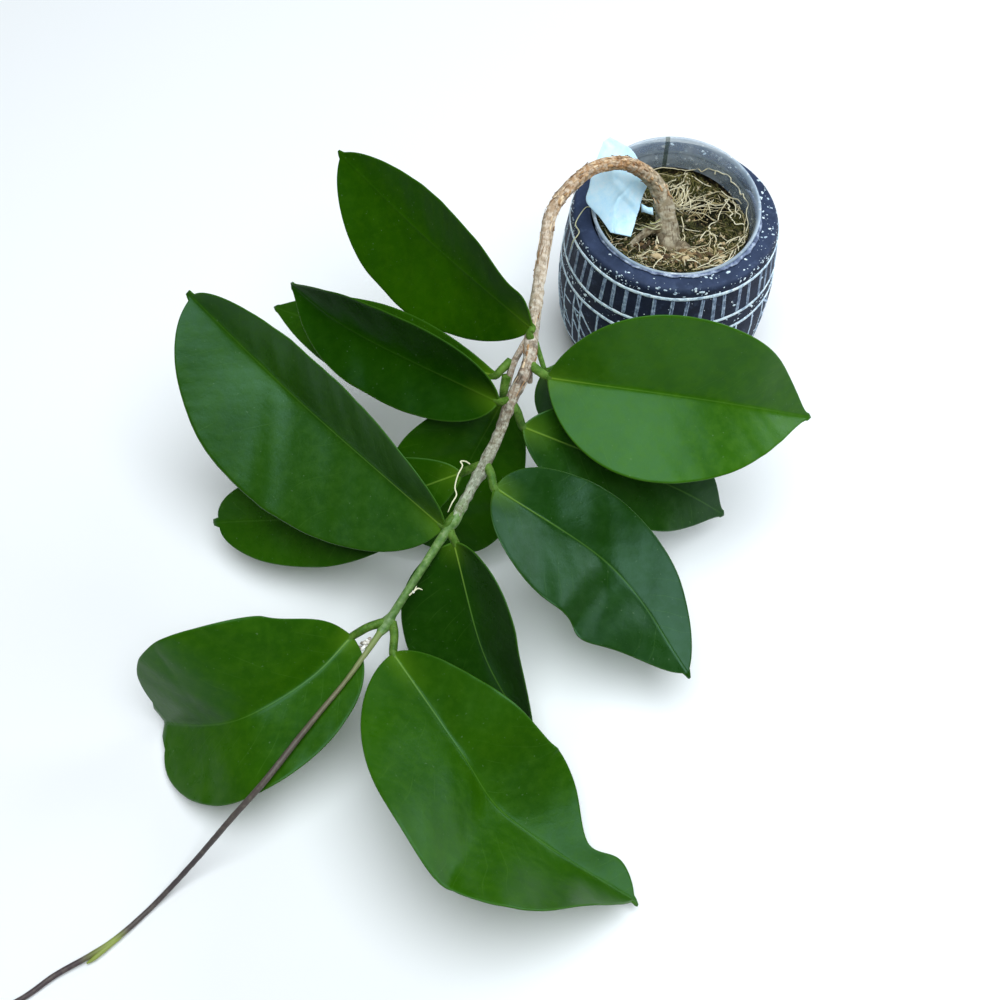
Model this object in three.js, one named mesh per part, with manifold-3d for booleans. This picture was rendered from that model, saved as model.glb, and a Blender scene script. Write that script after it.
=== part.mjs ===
// Potted hoya plant: a barrel pot, a clear liner tilted in it, soil with surface roots, a woody stem
// that arches over the rim and trails away with thirteen leaves, and a long leafless shoot that
// lies along the surface. Millimetres, +Z up, the pot's base is centred on the origin.
// The viewer stands on the -Y side.
import * as THREE from "three";
import { mergeVertices } from "three/addons/utils/BufferGeometryUtils.js";
import Module from "manifold-3d";

const wasm = await Module();
wasm.setup();

// Driving dimensions
const GAP = 0.3; // clearance between pieces that touch
const POT_HEIGHT = 95;
const POT_MOUTH_RADIUS = 41.9;
const POT_FLOOR = 10;
const POT_SEGMENTS = 44;
const LINE_RELIEF = 0.4; // how far the light lines stand out of the pot
const LINE_WIDTH = 1.7;
const LINE_HEIGHTS = [26, 63.9, 72.4, 89.6];

const LINER_RADIUS = 41.3; // outer radius of the cup's lip
const LINER_FOOT_RADIUS = 28;
const LINER_HEIGHT = 88;
const LINER_WALL = 0.8;
const LINER_LIP = 1.2;
const LINER_RIM_CENTRE = new THREE.Vector3(-0.5, -0.5, 101.3);
const LINER_TILT = 7.4; // degrees, towards the viewer
const LINER_SEGMENTS = 44;

const SOIL_LEVEL = 86.5; // at the middle of the pot
const SOIL_SLOPE = 0.16; // the soil rises towards the viewer
const ROOT_SEED = 7;
const ROOT_COUNT = 12;
const ROOT_RADIUS = 0.65;
const ROOT_LIFT = 0.85; // of a root's centre above the soil
const ROOT_START_RADIUS = 9;
const CIRCLING_RADIUS = 34.5;

const LEAF_THICKNESS = 1.3; // at the midrib
const LEAF_EDGE_THICKNESS = 0.8;
const LEAF_END_WIDTH = 1; // a blade's width at the very tip
const DRIP_TIP = 2.5; // length of the narrow tip
const TIP_SPREAD = 0.5; // how fast half the tip's width grows along it
const PETIOLE_RADIUS = 2.1;
const TAG_THICKNESS = 0.6;

const degrees = THREE.MathUtils.degToRad;
const vec = ([x, y, z]) => new THREE.Vector3(x, y, z);
const curveThrough = (route) => new THREE.CatmullRomCurve3(route.map(vec), false, "catmullrom", 0.5);

// A seeded source of numbers from 0 to 1
function seededRandom(seed) {
  let state = seed;
  return () => {
    state = (state + 0x6d2b79f5) | 0;
    let mixed = Math.imul(state ^ (state >>> 15), 1 | state);
    mixed = (mixed + Math.imul(mixed ^ (mixed >>> 7), 61 | mixed)) ^ mixed;
    return ((mixed ^ (mixed >>> 14)) >>> 0) / 4294967296;
  };
}

// A closed three.js geometry as a manifold-3d solid
function toSolid(geometry) {
  const bare = geometry.clone();
  bare.deleteAttribute("normal");
  bare.deleteAttribute("uv");
  const merged = mergeVertices(bare, 1e-4);
  return new wasm.Manifold(
    new wasm.Mesh({
      numProp: 3,
      vertProperties: new Float32Array(merged.attributes.position.array),
      triVerts: new Uint32Array(merged.index.array),
    }),
  );
}

// A manifold-3d solid as a three.js geometry
function toGeometry(solid) {
  const made = solid.getMesh();
  const places = new Float32Array(made.numVert * 3);
  for (let i = 0; i < made.numVert; i += 1) {
    places.set(made.vertProperties.subarray(i * made.numProp, i * made.numProp + 3), i * 3);
  }
  const geometry = new THREE.BufferGeometry();
  geometry.setAttribute("position", new THREE.BufferAttribute(places, 3));
  geometry.setIndex(new THREE.BufferAttribute(made.triVerts, 1));
  return geometry;
}

// Solids that cross each other, joined into one
function join(solids) {
  return solids.reduce((whole, next) => whole.add(next));
}

// The largest of the separate bodies that a cut leaves
function largestBody(solid) {
  return solid.decompose().reduce((best, body) => (body.volume() > best.volume() ? body : best));
}

// A closed surface from its corner points and triangles
function polyhedron(points, triangles) {
  const places = points.flatMap((point) => point.toArray());
  const geometry = new THREE.BufferGeometry();
  geometry.setAttribute("position", new THREE.Float32BufferAttribute(places, 3));
  geometry.setIndex(triangles);
  return geometry;
}

// A round rod along a route of [x, y, z, radius]; grow thickens it all over
function rod(route, sides, steps, grow = 0) {
  const curve = curveThrough(route);
  const points = [];
  const triangles = [];
  let across = new THREE.Vector3(0.3, 0.5, 0.81);
  for (let i = 0; i <= steps; i += 1) {
    const t = i / steps;
    const place = t * (route.length - 1);
    const before = Math.min(Math.floor(place), route.length - 2);
    const radius = THREE.MathUtils.lerp(route[before][3], route[before + 1][3], place - before) + grow;
    const tangent = curve.getTangent(t);
    const push = i === 0 ? -grow : i === steps ? grow : 0;
    const centre = curve.getPoint(t).addScaledVector(tangent, push);
    across = across.addScaledVector(tangent, -across.dot(tangent)).normalize();
    const up = tangent.clone().cross(across);
    for (let k = 0; k < sides; k += 1) {
      const angle = (2 * Math.PI * k) / sides;
      const point = centre.clone().addScaledVector(across, radius * Math.cos(angle));
      points.push(point.addScaledVector(up, radius * Math.sin(angle)));
    }
  }
  for (let i = 0; i < steps; i += 1) {
    for (let k = 0; k < sides; k += 1) {
      const a = i * sides + k;
      const b = i * sides + ((k + 1) % sides);
      triangles.push(a, b, b + sides, a, b + sides, a + sides);
    }
  }
  const last = steps * sides;
  for (let k = 1; k < sides - 1; k += 1) {
    triangles.push(0, k + 1, k, last, last + k, last + k + 1);
  }
  return toSolid(polyhedron(points, triangles));
}

// A thin sheet: rows of points, thickened along the surface's own normal
function sheet(rows, thicknessAt) {
  const count = rows.length;
  const width = rows[0].length;
  const points = [];
  for (const side of [1, -1]) {
    rows.forEach((row, i) => {
      row.forEach((point, j) => {
        const along = rows[Math.min(i + 1, count - 1)][j].clone().sub(rows[Math.max(i - 1, 0)][j]);
        const over = row[Math.min(j + 1, width - 1)].clone().sub(row[Math.max(j - 1, 0)]);
        const normal = along.cross(over).normalize();
        points.push(point.clone().addScaledVector(normal, (side * thicknessAt(j / (width - 1))) / 2));
      });
    });
  }
  const lower = count * width;
  const triangles = [];
  const quad = (a, b, c, d) => triangles.push(a, b, c, a, c, d);
  for (let i = 0; i < count - 1; i += 1) {
    for (let j = 0; j < width - 1; j += 1) {
      const a = i * width + j;
      const b = a + width;
      triangles.push(a, b, b + 1, a, b + 1, a + 1);
      triangles.push(lower + a, lower + b + 1, lower + b, lower + a, lower + a + 1, lower + b + 1);
    }
  }
  for (let i = 0; i < count - 1; i += 1) {
    const a = i * width;
    const b = a + width;
    quad(a, lower + a, lower + b, b);
    quad(b + width - 1, lower + b + width - 1, lower + b - 1, b - 1);
  }
  for (let j = 0; j < width - 1; j += 1) {
    const end = (count - 1) * width + j;
    quad(j + 1, lower + j + 1, lower + j, j);
    quad(end, lower + end, lower + end + 1, end + 1);
  }
  return toSolid(polyhedron(points, triangles));
}

// The pot: a barrel with a thick wall, a flat ring on top and light lines round it
const POT_SIDE = [
  [40.5, 1.5],
  [44.6, 7],
  [49.2, 15],
  [51.9, 22],
  [53.6, 30],
  [54.6, 42],
  [55, 55],
  [54.2, 63.9],
  [53.5, 72.4],
  [52.6, 81],
  [51.6, 89.6],
  [50.9, 93],
  [50, POT_HEIGHT - 0.4],
];

function sideRadius(height) {
  const above = Math.max(1, POT_SIDE.findIndex(([, z]) => z >= height));
  const [r0, z0] = POT_SIDE[above - 1];
  const [r1, z1] = POT_SIDE[above];
  return THREE.MathUtils.mapLinear(height, z0, z1, r0, r1);
}

function pot() {
  const lineProfile = LINE_HEIGHTS.flatMap((height) => {
    const low = height - LINE_WIDTH / 2;
    const high = height + LINE_WIDTH / 2;
    return [
      [sideRadius(low - LINE_RELIEF), low - LINE_RELIEF],
      [sideRadius(low) + LINE_RELIEF, low],
      [sideRadius(high) + LINE_RELIEF, high],
      [sideRadius(high + LINE_RELIEF), high + LINE_RELIEF],
    ];
  });
  const clearOfLines = ([, z]) => LINE_HEIGHTS.every((height) => Math.abs(z - height) > LINE_WIDTH);
  const side = [...POT_SIDE.filter(clearOfLines), ...lineProfile].sort((a, b) => a[1] - b[1]);
  const profile = [
    [0, 0],
    [39, 0],
    ...side,
    [49.3, POT_HEIGHT],
    [POT_MOUTH_RADIUS + 0.8, POT_HEIGHT],
    [POT_MOUTH_RADIUS, POT_HEIGHT - 0.8],
    [POT_MOUTH_RADIUS + 1.2, 60],
    [POT_MOUTH_RADIUS, 32],
    [39.6, 17],
    [33, POT_FLOOR],
    [0, POT_FLOOR],
  ];
  return new THREE.LatheGeometry(profile.map(([r, z]) => new THREE.Vector2(r, z)), POT_SEGMENTS)
    .rotateX(Math.PI / 2);
}

// The liner's own frame: its foot on the plane z = 0, tilted and set down in the pot
const LINER_PLACE = new THREE.Matrix4()
  .makeTranslation(LINER_RIM_CENTRE)
  .multiply(new THREE.Matrix4().makeRotationX(degrees(LINER_TILT)))
  .multiply(new THREE.Matrix4().makeTranslation(0, 0, -LINER_HEIGHT));

function linerInside(height, shrink) {
  const share = height / LINER_HEIGHT;
  return THREE.MathUtils.lerp(LINER_FOOT_RADIUS, LINER_RADIUS - LINER_LIP / 2, share) - LINER_WALL - shrink;
}

function liner() {
  const top = LINER_HEIGHT;
  const profile = [
    [0, 0],
    [LINER_FOOT_RADIUS - 0.8, 0],
    [LINER_FOOT_RADIUS, 0.8],
    [linerInside(top - 3, 0) + LINER_WALL, top - 3],
    [LINER_RADIUS, top - 1.6],
    [LINER_RADIUS, top - 0.4],
    [LINER_RADIUS - 0.5, top],
    [linerInside(top, 0), top],
    [linerInside(LINER_WALL, 0), LINER_WALL],
    [0, LINER_WALL],
  ];
  return new THREE.LatheGeometry(profile.map(([r, z]) => new THREE.Vector2(r, z)), LINER_SEGMENTS)
    .rotateX(Math.PI / 2)
    .applyMatrix4(LINER_PLACE);
}

// The soil's surface: it rises towards the viewer and is lumpy
function soilTop(x, y) {
  const lumps = 1.1 * Math.sin(x / 6 + 1) * Math.cos(y / 5) + 0.7 * Math.sin(x / 3.1 - y / 4.3);
  return SOIL_LEVEL - SOIL_SLOPE * y + lumps;
}

function soilFilling() {
  const top = LINER_HEIGHT - 1;
  const profile = [
    [0, LINER_WALL + GAP],
    [linerInside(LINER_WALL + GAP, GAP), LINER_WALL + GAP],
    [linerInside(top, GAP), top],
    [0, top],
  ];
  const filling = new THREE.LatheGeometry(profile.map(([r, z]) => new THREE.Vector2(r, z)), 40)
    .rotateX(Math.PI / 2)
    .applyMatrix4(LINER_PLACE);
  return toSolid(filling);
}

function underSoilSurface(raise) {
  const rings = [0, 5, 10, 15, 20, 25, 30, 35, 45];
  const profile = [...rings.map((r) => [r, POT_HEIGHT]), [45, 0], [0, 0]].reverse();
  const block = new THREE.LatheGeometry(profile.map(([r, z]) => new THREE.Vector2(r, z)), 32)
    .rotateX(Math.PI / 2);
  const places = block.attributes.position;
  for (let i = 0; i < places.count; i += 1) {
    if (places.getZ(i) > 1) places.setZ(i, soilTop(places.getX(i), places.getY(i)) + raise);
  }
  return toSolid(block);
}

// Stems, each a route of [x, y, z, radius], thicker where leaves stand
const WOODY_ROUTE = [
  [-2, -14, 73, 5],
  [-3.5, -15.5, 86, 7],
  [-4, -11, 92, 5.4],
  [-6.5, -2, 101, 4.8],
  [-11.5, 3.5, 110, 4],
  [-20.5, 1.5, 121, 3.4],
  [-30.5, -2, 128, 3.1],
  [-44, -9, 130, 3.1],
  [-56, -21, 127.5, 2.9],
  [-62.5, -32, 124, 2.8],
  [-64.5, -43, 120, 2.8],
  [-67.5, -66.5, 112, 2.8],
  [-70, -88, 104, 3.1],
  [-71, -101, 100, 2.9],
  [-78, -116, 92, 2.7],
  [-83, -130, 86, 2.4],
  [-89, -143, 80, 2.7],
  [-95, -154, 75, 2.2],
  [-101, -165, 70, 2.5],
];
const BUTTRESSES = [
  [
    [-5, -10, 95, 3.2],
    [-11, -11, 94, 2.1],
    [-17, -13.5, 92.3, 1.7],
    [-23, -20, 90, 1.3],
  ],
  [
    [-4, -15, 89, 4.4],
    [5, -20, 88.5, 3.4],
    [13, -26, 89.5, 1.8],
  ],
  [
    [-4, -13, 90, 4],
    [2, -5, 87, 2.4],
    [8, 3, 86, 1.4],
  ],
];
const SPUR_ROUTE = [
  [-70, -87, 104, 1.8],
  [-74.5, -94, 101, 1.5],
  [-78, -100, 96.5, 1.6],
  [-80, -105.5, 89, 1.5],
];
const STUB_ROUTE = [
  [-71, -99, 100, 1.6],
  [-70, -104, 94, 1.2],
  [-70, -105.5, 91.5, 1.1],
];
const YOUNG_ROUTE = [
  [-101.4, -165.6, 69.7, 2.4],
  [-108, -175, 64.5, 2],
  [-120, -192, 54, 1.8],
  [-127, -202, 47.5, 1.9],
  [-131, -207, 44, 2.6],
];
const LEADER_ROUTE = [
  [-130.5, -206.5, 44.3, 1.9],
  [-138, -221, 45.2, 1.5],
  [-145.7, -233.7, 43.7, 1.4],
  [-154.9, -246.8, 42.1, 1.4],
  [-163.4, -259.4, 41.1, 1.4],
  [-175.4, -277.3, 38.8, 1.4],
  [-189.6, -290.7, 28, 1.4],
  [-205.1, -303.9, 12.5, 1.4],
  [-221.6, -319.9, 2.4, 1.4],
  [-234.6, -334, 2.2, 1.8],
  [-245, -342, 2.2, 1.7],
  [-257.8, -350.1, 1.7, 1.4],
  [-270, -360, 1.6, 1.3],
  [-288, -370, 1.5, 1.2],
  [-305, -383, 1.3, 1],
  [-318, -390, 1.1, 0.7],
];
const LEADER_BUD = [
  [-240, -339, 2.4, 1.3],
  [-245, -339, 2.8, 1.2],
  [-249, -341, 2.6, 0.6],
];

const woodyStem = (grow) =>
  join([
    rod(WOODY_ROUTE, 10, 42, grow),
    ...BUTTRESSES.map((route) => rod(route, 7, 5, grow)),
    rod(SPUR_ROUTE, 7, 6, grow),
    rod(STUB_ROUTE, 6, 3, grow),
  ]);
const youngStem = (grow) => rod(YOUNG_ROUTE, 8, 10, grow);
const leaderShoot = (grow) => join([rod(LEADER_ROUTE, 7, 45, grow), rod(LEADER_BUD, 5, 3, grow)]);

// Surface roots: one circles along the liner's wall, the others wander out to it from the stem
function surfaceRoots() {
  const random = seededRandom(ROOT_SEED);
  const place = (radius, angle) => {
    const x = radius * Math.cos(angle);
    const y = radius * Math.sin(angle);
    return [x, y, soilTop(x, y) + ROOT_LIFT, ROOT_RADIUS];
  };
  const circle = Array.from({ length: 19 }, (_, i) => {
    const angle = degrees(-80 + 16 * i);
    return place(CIRCLING_RADIUS + Math.sin(3 * angle), angle);
  });
  const rods = [rod(circle, 4, 28)];
  for (let k = 0; k < ROOT_COUNT; k += 1) {
    const start = degrees(-70 + (250 * k) / ROOT_COUNT);
    const swing = degrees(70 * (random() - 0.5));
    const route = [];
    for (let i = 0; i <= 6; i += 1) {
      const share = i / 6;
      const wander = degrees(16 * (random() - 0.5));
      const reach = ROOT_START_RADIUS + share * (CIRCLING_RADIUS + 0.5 - ROOT_START_RADIUS);
      route.push(place(reach, start + swing * share + wander));
    }
    route[0][2] += 0.6;
    rods.push(rod(route, 4, 7));
  }
  return join(rods);
}

// A leaf blade runs along its midrib, path; roll turns it about the midrib, and fold lifts both halves
const LEAVES = [
  {
    name: "leaf_upper_left", // beside the first leaf node
    path: [[-70, -88, 109], [-119, -36, 108], [-165, 6, 122]],
    roll: -61, twist: 25, width: 58, widest: 0.98, fullness: 0.65, fold: 12, lean: 0.22,
    stalk: [[-70, -91, 104], [-71, -90, 107.5]],
  },
  {
    name: "leaf_behind_rim_leaf", // hangs behind the leaf in front of the pot
    path: [[-63, -101, 95], [-41, -94, 58], [-27, -94, 18]],
    roll: 68, twist: -2, width: 40, widest: 0.71, fullness: 0.66, fold: 8,
    stalk: [[-69, -88, 103], [-67, -92, 100.5], [-65, -97.5, 97.5]], stalkRadius: 1.2,
  },
  {
    name: "leaf_spur_outer", // from the side spur, its tip shows past the next leaf
    path: [[-86, -104, 94], [-145, -72, 75], [-199, -37, 57]],
    roll: -36, twist: 0, width: 38, widest: 1, fullness: 0.79, fold: 13,
    stalk: [[-79, -98, 97], [-83, -102, 96]],
  },
  {
    name: "leaf_spur_end", // hangs from the spur's end
    path: [[-82, -108, 81], [-101, -129, 41], [-104, -150, 8]],
    roll: -20, twist: 13, width: 65, widest: 1.14, fullness: 0.42, fold: 7, lean: -0.08,
    stalk: [[-80.5, -103, 93], [-81.5, -107, 87]],
  },
  {
    name: "leaf_in_front_of_pot", // the broad leaf in front of the pot
    path: [[-62, -107, 98], [13.5, -110, 88.6], [65, -98, 62]],
    roll: 47, twist: -18, width: 82, widest: 0.63, fullness: 0.98, fold: 24, cup: 2, lean: 0.02,
    stalk: [[-71, -101, 100], [-66, -105, 99.5]],
  },
  {
    name: "leaf_left_small",
    path: [[-84, -117, 92], [-151, -78.5, 90], [-185, -50, 90]],
    roll: -59, twist: -8, width: 47, widest: 0.62, fullness: 0.79, fold: 27, cup: -1,
    stalk: [[-78, -116, 92], [-81, -117, 92.3]],
  },
  {
    name: "leaf_under_front_leaf",
    path: [[-72, -122, 80], [-2.5, -128.5, 46], [29, -127, 18]],
    roll: 35, twist: 2, width: 51, widest: 0.65, fullness: 0.96, fold: 10,
    stalk: [[-78, -117, 91], [-75, -120, 88]],
  },
  {
    name: "leaf_under_big_left",
    path: [[-100, -143, 72], [-156, -149, 44], [-220, -143, 21]],
    roll: -39, twist: 0, width: 49, widest: 1.25, fullness: 0.44, fold: 12, lean: -0.03,
    stalk: [[-89, -143, 80], [-94, -143, 77]],
  },
  {
    name: "leaf_right_waved",
    path: [[-84, -154, 78], [-29, -176, 47], [6, -220, 30]],
    roll: 1, twist: 14, width: 63, widest: 0.7, fullness: 0.64, fold: 11, lean: -0.14,
    nip: { side: -1, at: 0.69, depth: -0.3, reach: 0.14 },
    stalk: [[-88.5, -143, 80], [-86, -148, 80]],
  },
  {
    name: "leaf_big_left",
    path: [[-106, -169, 68], [-174, -110.5, 77], [-227, -73, 108]],
    roll: -50, twist: 11, width: 78, widest: 0.93, fullness: 0.52, fold: 25, lean: 0.25,
    stalk: [[-101, -164, 70], [-103.5, -167, 70]], stalkRadius: 2.3,
  },
  {
    name: "leaf_hanging_middle",
    path: [[-101, -175, 65], [-85.5, -213, 30], [-62, -244, 8]],
    roll: 51, twist: 5, width: 63, widest: 0.7, fullness: 0.74, fold: 21, lean: -0.07,
    stalk: [[-103.5, -169, 67], [-102.5, -172, 66.5]],
  },
  {
    name: "leaf_tucked_tip", // its tip is tucked under
    path: [[-145, -212, 43], [-161.5, -230.5, 39], [-185.5, -247, 36], [-205.5, -247.5, 24], [-231, -240, 6]],
    roll: -27, twist: -2, width: 85, widest: 1.63, fullness: 0.28, fold: 27, cup: -1, lean: -0.16,
    stalk: [[-130, -205, 45], [-136, -207.5, 46], [-141, -210, 45]],
  },
  {
    name: "leaf_lowest_right",
    path: [[-126, -219, 42], [-96.5, -258, 35.6], [-77.5, -280, 20.6], [-46.5, -298.5, 10.7], [-17, -314, 6]],
    roll: -12, twist: -34, width: 100, widest: 0.9, fullness: 0.67, fold: 32, lean: -0.28,
    nip: { side: 1, at: 0.8, depth: 0.6, reach: 0.1 },
    stalk: [[-127.5, -205, 44.5], [-126, -211, 44]],
  },
];
const LEAF_ROWS = 11;
const LEAF_COLUMNS = [-1, -0.68, -0.32, 0, 0.32, 0.68, 1];

// Half the blade's width on the side -1 or 1; share is 0 at its base and 1 where the narrow tip starts
function halfWidth(leaf, share, side, toTip) {
  const round = Math.sin(Math.PI * Math.min(share, 0.9995) ** leaf.widest) ** leaf.fullness;
  const nip = leaf.nip;
  const nipped = nip && nip.side === side ? nip.depth * Math.exp(-(((share - nip.at) / nip.reach) ** 2)) : 0;
  const body = (leaf.width / 2) * round * (1 + side * (leaf.lean ?? 0)) * (1 - nipped);
  return Math.hypot(body, LEAF_END_WIDTH / 2 + TIP_SPREAD * Math.min(toTip, DRIP_TIP));
}

function bladeRows(leaf) {
  const curve = curveThrough(leaf.path);
  const chord = vec(leaf.path.at(-1)).sub(vec(leaf.path[0]));
  const level = new THREE.Vector3(0, 0, 1).cross(chord).normalize();
  level.applyAxisAngle(chord.clone().normalize(), degrees(leaf.roll));
  const bodyEnd = 1 - DRIP_TIP / chord.length();
  return Array.from({ length: LEAF_ROWS + 1 }, (_, i) => {
    const share = 0.5 - 0.5 * Math.cos((Math.PI * i) / LEAF_ROWS);
    const u = share * bodyEnd;
    return bladeRow(leaf, curve, level, u, share);
  }).concat([bladeRow(leaf, curve, level, 1, 1)]);
}

function bladeRow(leaf, curve, level, u, share) {
  const tangent = curve.getTangent(u);
  const flat = level.clone().addScaledVector(tangent, -level.dot(tangent)).normalize();
  const side = flat.applyAxisAngle(tangent, degrees(leaf.twist * (u - 0.5)));
  const up = tangent.clone().cross(side);
  const fold = degrees(leaf.fold);
  const toTip = (1 - u) * vec(leaf.path[0]).distanceTo(vec(leaf.path.at(-1)));
  return LEAF_COLUMNS.map((v) => {
    const reach = Math.abs(v) * halfWidth(leaf, share, Math.sign(v), toTip);
    const lift = reach * Math.sin(fold) + (leaf.cup ?? 0) * (reach / (leaf.width / 2)) ** 2;
    return curve
      .getPoint(u)
      .addScaledVector(side, Math.sign(v) * reach * Math.cos(fold))
      .addScaledVector(up, lift);
  });
}

// A leaf: its blade and its petiole, cut clear of the stem that carries it
function leafSolid(leaf, stems) {
  const thicknessAt = (across) => {
    const v = 2 * across - 1;
    return THREE.MathUtils.lerp(LEAF_THICKNESS, LEAF_EDGE_THICKNESS, v * v);
  };
  const blade = sheet(bladeRows(leaf), thicknessAt);
  const radius = leaf.stalkRadius ?? PETIOLE_RADIUS;
  const midrib = curveThrough(leaf.path);
  const under = [0, 4 / midrib.getLength(), 12 / midrib.getLength()].map((u) => midrib.getPoint(u));
  const petiole = [
    ...leaf.stalk.map(([x, y, z], i) => [x, y, z, radius + (i === 0 ? 0.4 : 0)]),
    [...under[0].toArray(), radius * 0.95],
    [...under[1].toArray(), radius * 0.8],
    [...under[2].toArray(), radius * 0.5],
  ];
  const whole = join([blade, rod(petiole, 6, petiole.length + 2)]);
  return largestBody(stems.reduce((left, stem) => left.subtract(stem), whole));
}

// The blank sheet that stands in the pot behind the stem: its two long edges, from the bottom up
const TAG_LEFT = [[-32, -12, 92], [-38, -10.5, 100.5], [-45, -9, 109], [-44, -4, 114], [-43, 1, 118],
  [-41, 6, 122], [-38, 13, 127]];
const TAG_RIGHT = [[-22, -13.5, 91], [-19, -4, 96.5], [-17, 2.5, 102], [-15, 7.5, 107.5], [-19, 11, 114],
  [-24, 14, 121.5], [-35, 15.5, 127.5]];
const TAG_COLUMNS = 6;
const TAG_FOLD = 1.6; // how far the sheet's middle stands forward
const TAG_CURL = 1.4; // how far its bottom edge curls up

function tag() {
  const left = curveThrough(TAG_LEFT);
  const right = curveThrough(TAG_RIGHT);
  const forward = new THREE.Vector3(0, -0.75, 0.66);
  const rows = Array.from({ length: 10 }, (_, i) => {
    const u = i / 9;
    return Array.from({ length: TAG_COLUMNS + 1 }, (__, j) => {
      const v = j / TAG_COLUMNS;
      const bow = TAG_FOLD * (1 - Math.abs(2 * v - 0.8)) * Math.sin(Math.PI * u);
      const curl = TAG_CURL * Math.max(0, 1 - 6 * u) ** 2;
      return left.getPoint(u).lerp(right.getPoint(u), v).addScaledVector(forward, bow + curl);
    });
  });
  return sheet(rows, () => TAG_THICKNESS);
}

// Colours and finishes
const finish = (color, roughness, extra = {}) =>
  new THREE.MeshStandardMaterial({ color, roughness, metalness: 0, ...extra });
const potFinish = () => finish(0x2c3a60, 0.75);
const clearFinish = () => finish(0xc4d3de, 0.15, { transparent: true, opacity: 0.35 });
const soilFinish = () => finish(0x4a4228, 0.95);
const rootFinish = () => finish(0xc9b98c, 0.8);
const barkFinish = () => finish(0x9a8468, 0.85);
const greenStemFinish = () => finish(0x7fa050, 0.5);
const shootFinish = () => finish(0x5e4d46, 0.6);
const leafFinish = () => finish(0x2f6a16, 0.3);
const tagFinish = () => finish(0xbfe4f8, 0.6);

const plant = new THREE.Group();
function place(name, geometry, material) {
  const mesh = new THREE.Mesh(geometry, material);
  mesh.name = name;
  plant.add(mesh);
}

const woody = woodyStem(0);
const clearOfWoody = woodyStem(GAP);
const clearOfYoung = youngStem(GAP);
const clearOfLeader = leaderShoot(GAP);
const soil = soilFilling().intersect(underSoilSurface(0)).subtract(clearOfWoody);
const roots = largestBody(surfaceRoots().subtract(underSoilSurface(GAP)).subtract(clearOfWoody));

place("pot", pot(), potFinish());
place("clear_liner", liner(), clearFinish());
place("soil", toGeometry(soil), soilFinish());
place("surface_roots", toGeometry(roots), rootFinish());
place("woody_stem", toGeometry(woody), barkFinish());
place("young_stem", toGeometry(youngStem(0).subtract(clearOfWoody)), greenStemFinish());
place("leader_shoot", toGeometry(leaderShoot(0).subtract(clearOfYoung)), shootFinish());
place("plant_tag", toGeometry(tag()), tagFinish());
for (const leaf of LEAVES) {
  const solid = leafSolid(leaf, [clearOfWoody, clearOfYoung, clearOfLeader]);
  place(leaf.name, toGeometry(solid), leafFinish());
}

export default plant;
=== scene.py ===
"""Potted hoya plant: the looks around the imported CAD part. Sizes are in millimetres until a mesh is made."""

import math

import bpy
import numpy as np
from mathutils import Matrix, Vector


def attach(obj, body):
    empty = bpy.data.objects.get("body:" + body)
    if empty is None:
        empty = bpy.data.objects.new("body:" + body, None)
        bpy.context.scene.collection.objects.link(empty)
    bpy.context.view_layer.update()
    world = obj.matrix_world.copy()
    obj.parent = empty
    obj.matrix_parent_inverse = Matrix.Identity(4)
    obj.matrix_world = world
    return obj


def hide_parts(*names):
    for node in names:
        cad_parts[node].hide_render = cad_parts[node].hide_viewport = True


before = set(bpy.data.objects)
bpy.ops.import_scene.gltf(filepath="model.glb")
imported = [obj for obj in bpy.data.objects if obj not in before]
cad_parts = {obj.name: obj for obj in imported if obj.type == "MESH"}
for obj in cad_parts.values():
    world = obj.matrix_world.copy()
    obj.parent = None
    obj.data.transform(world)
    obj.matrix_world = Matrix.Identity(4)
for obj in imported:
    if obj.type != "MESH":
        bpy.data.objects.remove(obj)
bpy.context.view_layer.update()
MM = 0.001
FULL_TURN = 2 * np.pi

# Camera: it looks down on the plant from the viewer's side
CAMERA_PLACE = (-81.6, -462.3, 561.7)
CAMERA_PITCH = 58.0
CAMERA_ROLL = 1.96
CAMERA_LENS = 46.8

# Pot: UNROLLED_RADIUS turns an angle into a length along the side
POT_HEIGHT = 95
POT_MOUTH_RADIUS = 41.9
POT_FLOOR = 10
POT_SIDE = [(39, 0), (40.5, 1.5), (44.6, 7), (49.2, 15), (51.9, 22), (53.6, 30), (54.6, 42), (55, 55),
            (54.2, 63.9), (53.5, 72.4), (52.6, 81), (51.6, 89.6), (50.9, 93), (50, 94.6), (49.3, 95)]
UNROLLED_RADIUS = 52
RIBBON_STEP = 1.2
LINE_HEIGHTS = [26, 63.9, 72.4, 89.6]
LINE_WIDTH = 1.7
BAR_COUNT = 46
BAR_WIDTH = 2.0
STROKE_GAP = 0.0095
FIELD_COUNT = 12
UPRIGHT_SHARES = (0, 0.2, 0.62)
PATTERN_RELIEF = 0.28
LUMP_SIDES = 9
SPECK_SEED = 3

# Liner and soil: each hollow is x, y, width and depth
LINER_TOP_RADIUS = 40.7
LINER_FOOT_RADIUS = 28
LINER_HEIGHT = 88
LINER_WALL = 0.8
LINER_RIM_CENTRE = (-0.5, -0.5, 101.3)
LINER_TILT = 7.4
LIP_FILM_START = math.radians(-165)
LIP_FILM_END = math.radians(25)
LIP_FILM_INNER = 39.7
LIP_FILM_OUTER = 43.2
LIP_FILM_HEIGHT = 95.5
SOIL_LEVEL = 86.5
SOIL_SLOPE = 0.16
ROOT_RADIUS = 0.65
ROOT_LIFT = 0.85
CIRCLING_RADIUS = 34.5
ROOT_REACH = 37
ROOT_STEP = 3.6
MOSS_COUNT = 3600
SOIL_HOLLOWS = [(9, 17, 7, 4.5), (15, 10, 7, 4), (27, 16, 6, 3), (-14, -15, 5, 2.5), (-30, -14, 4, 2.5),
                (0, 27, 6, 2)]

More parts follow.
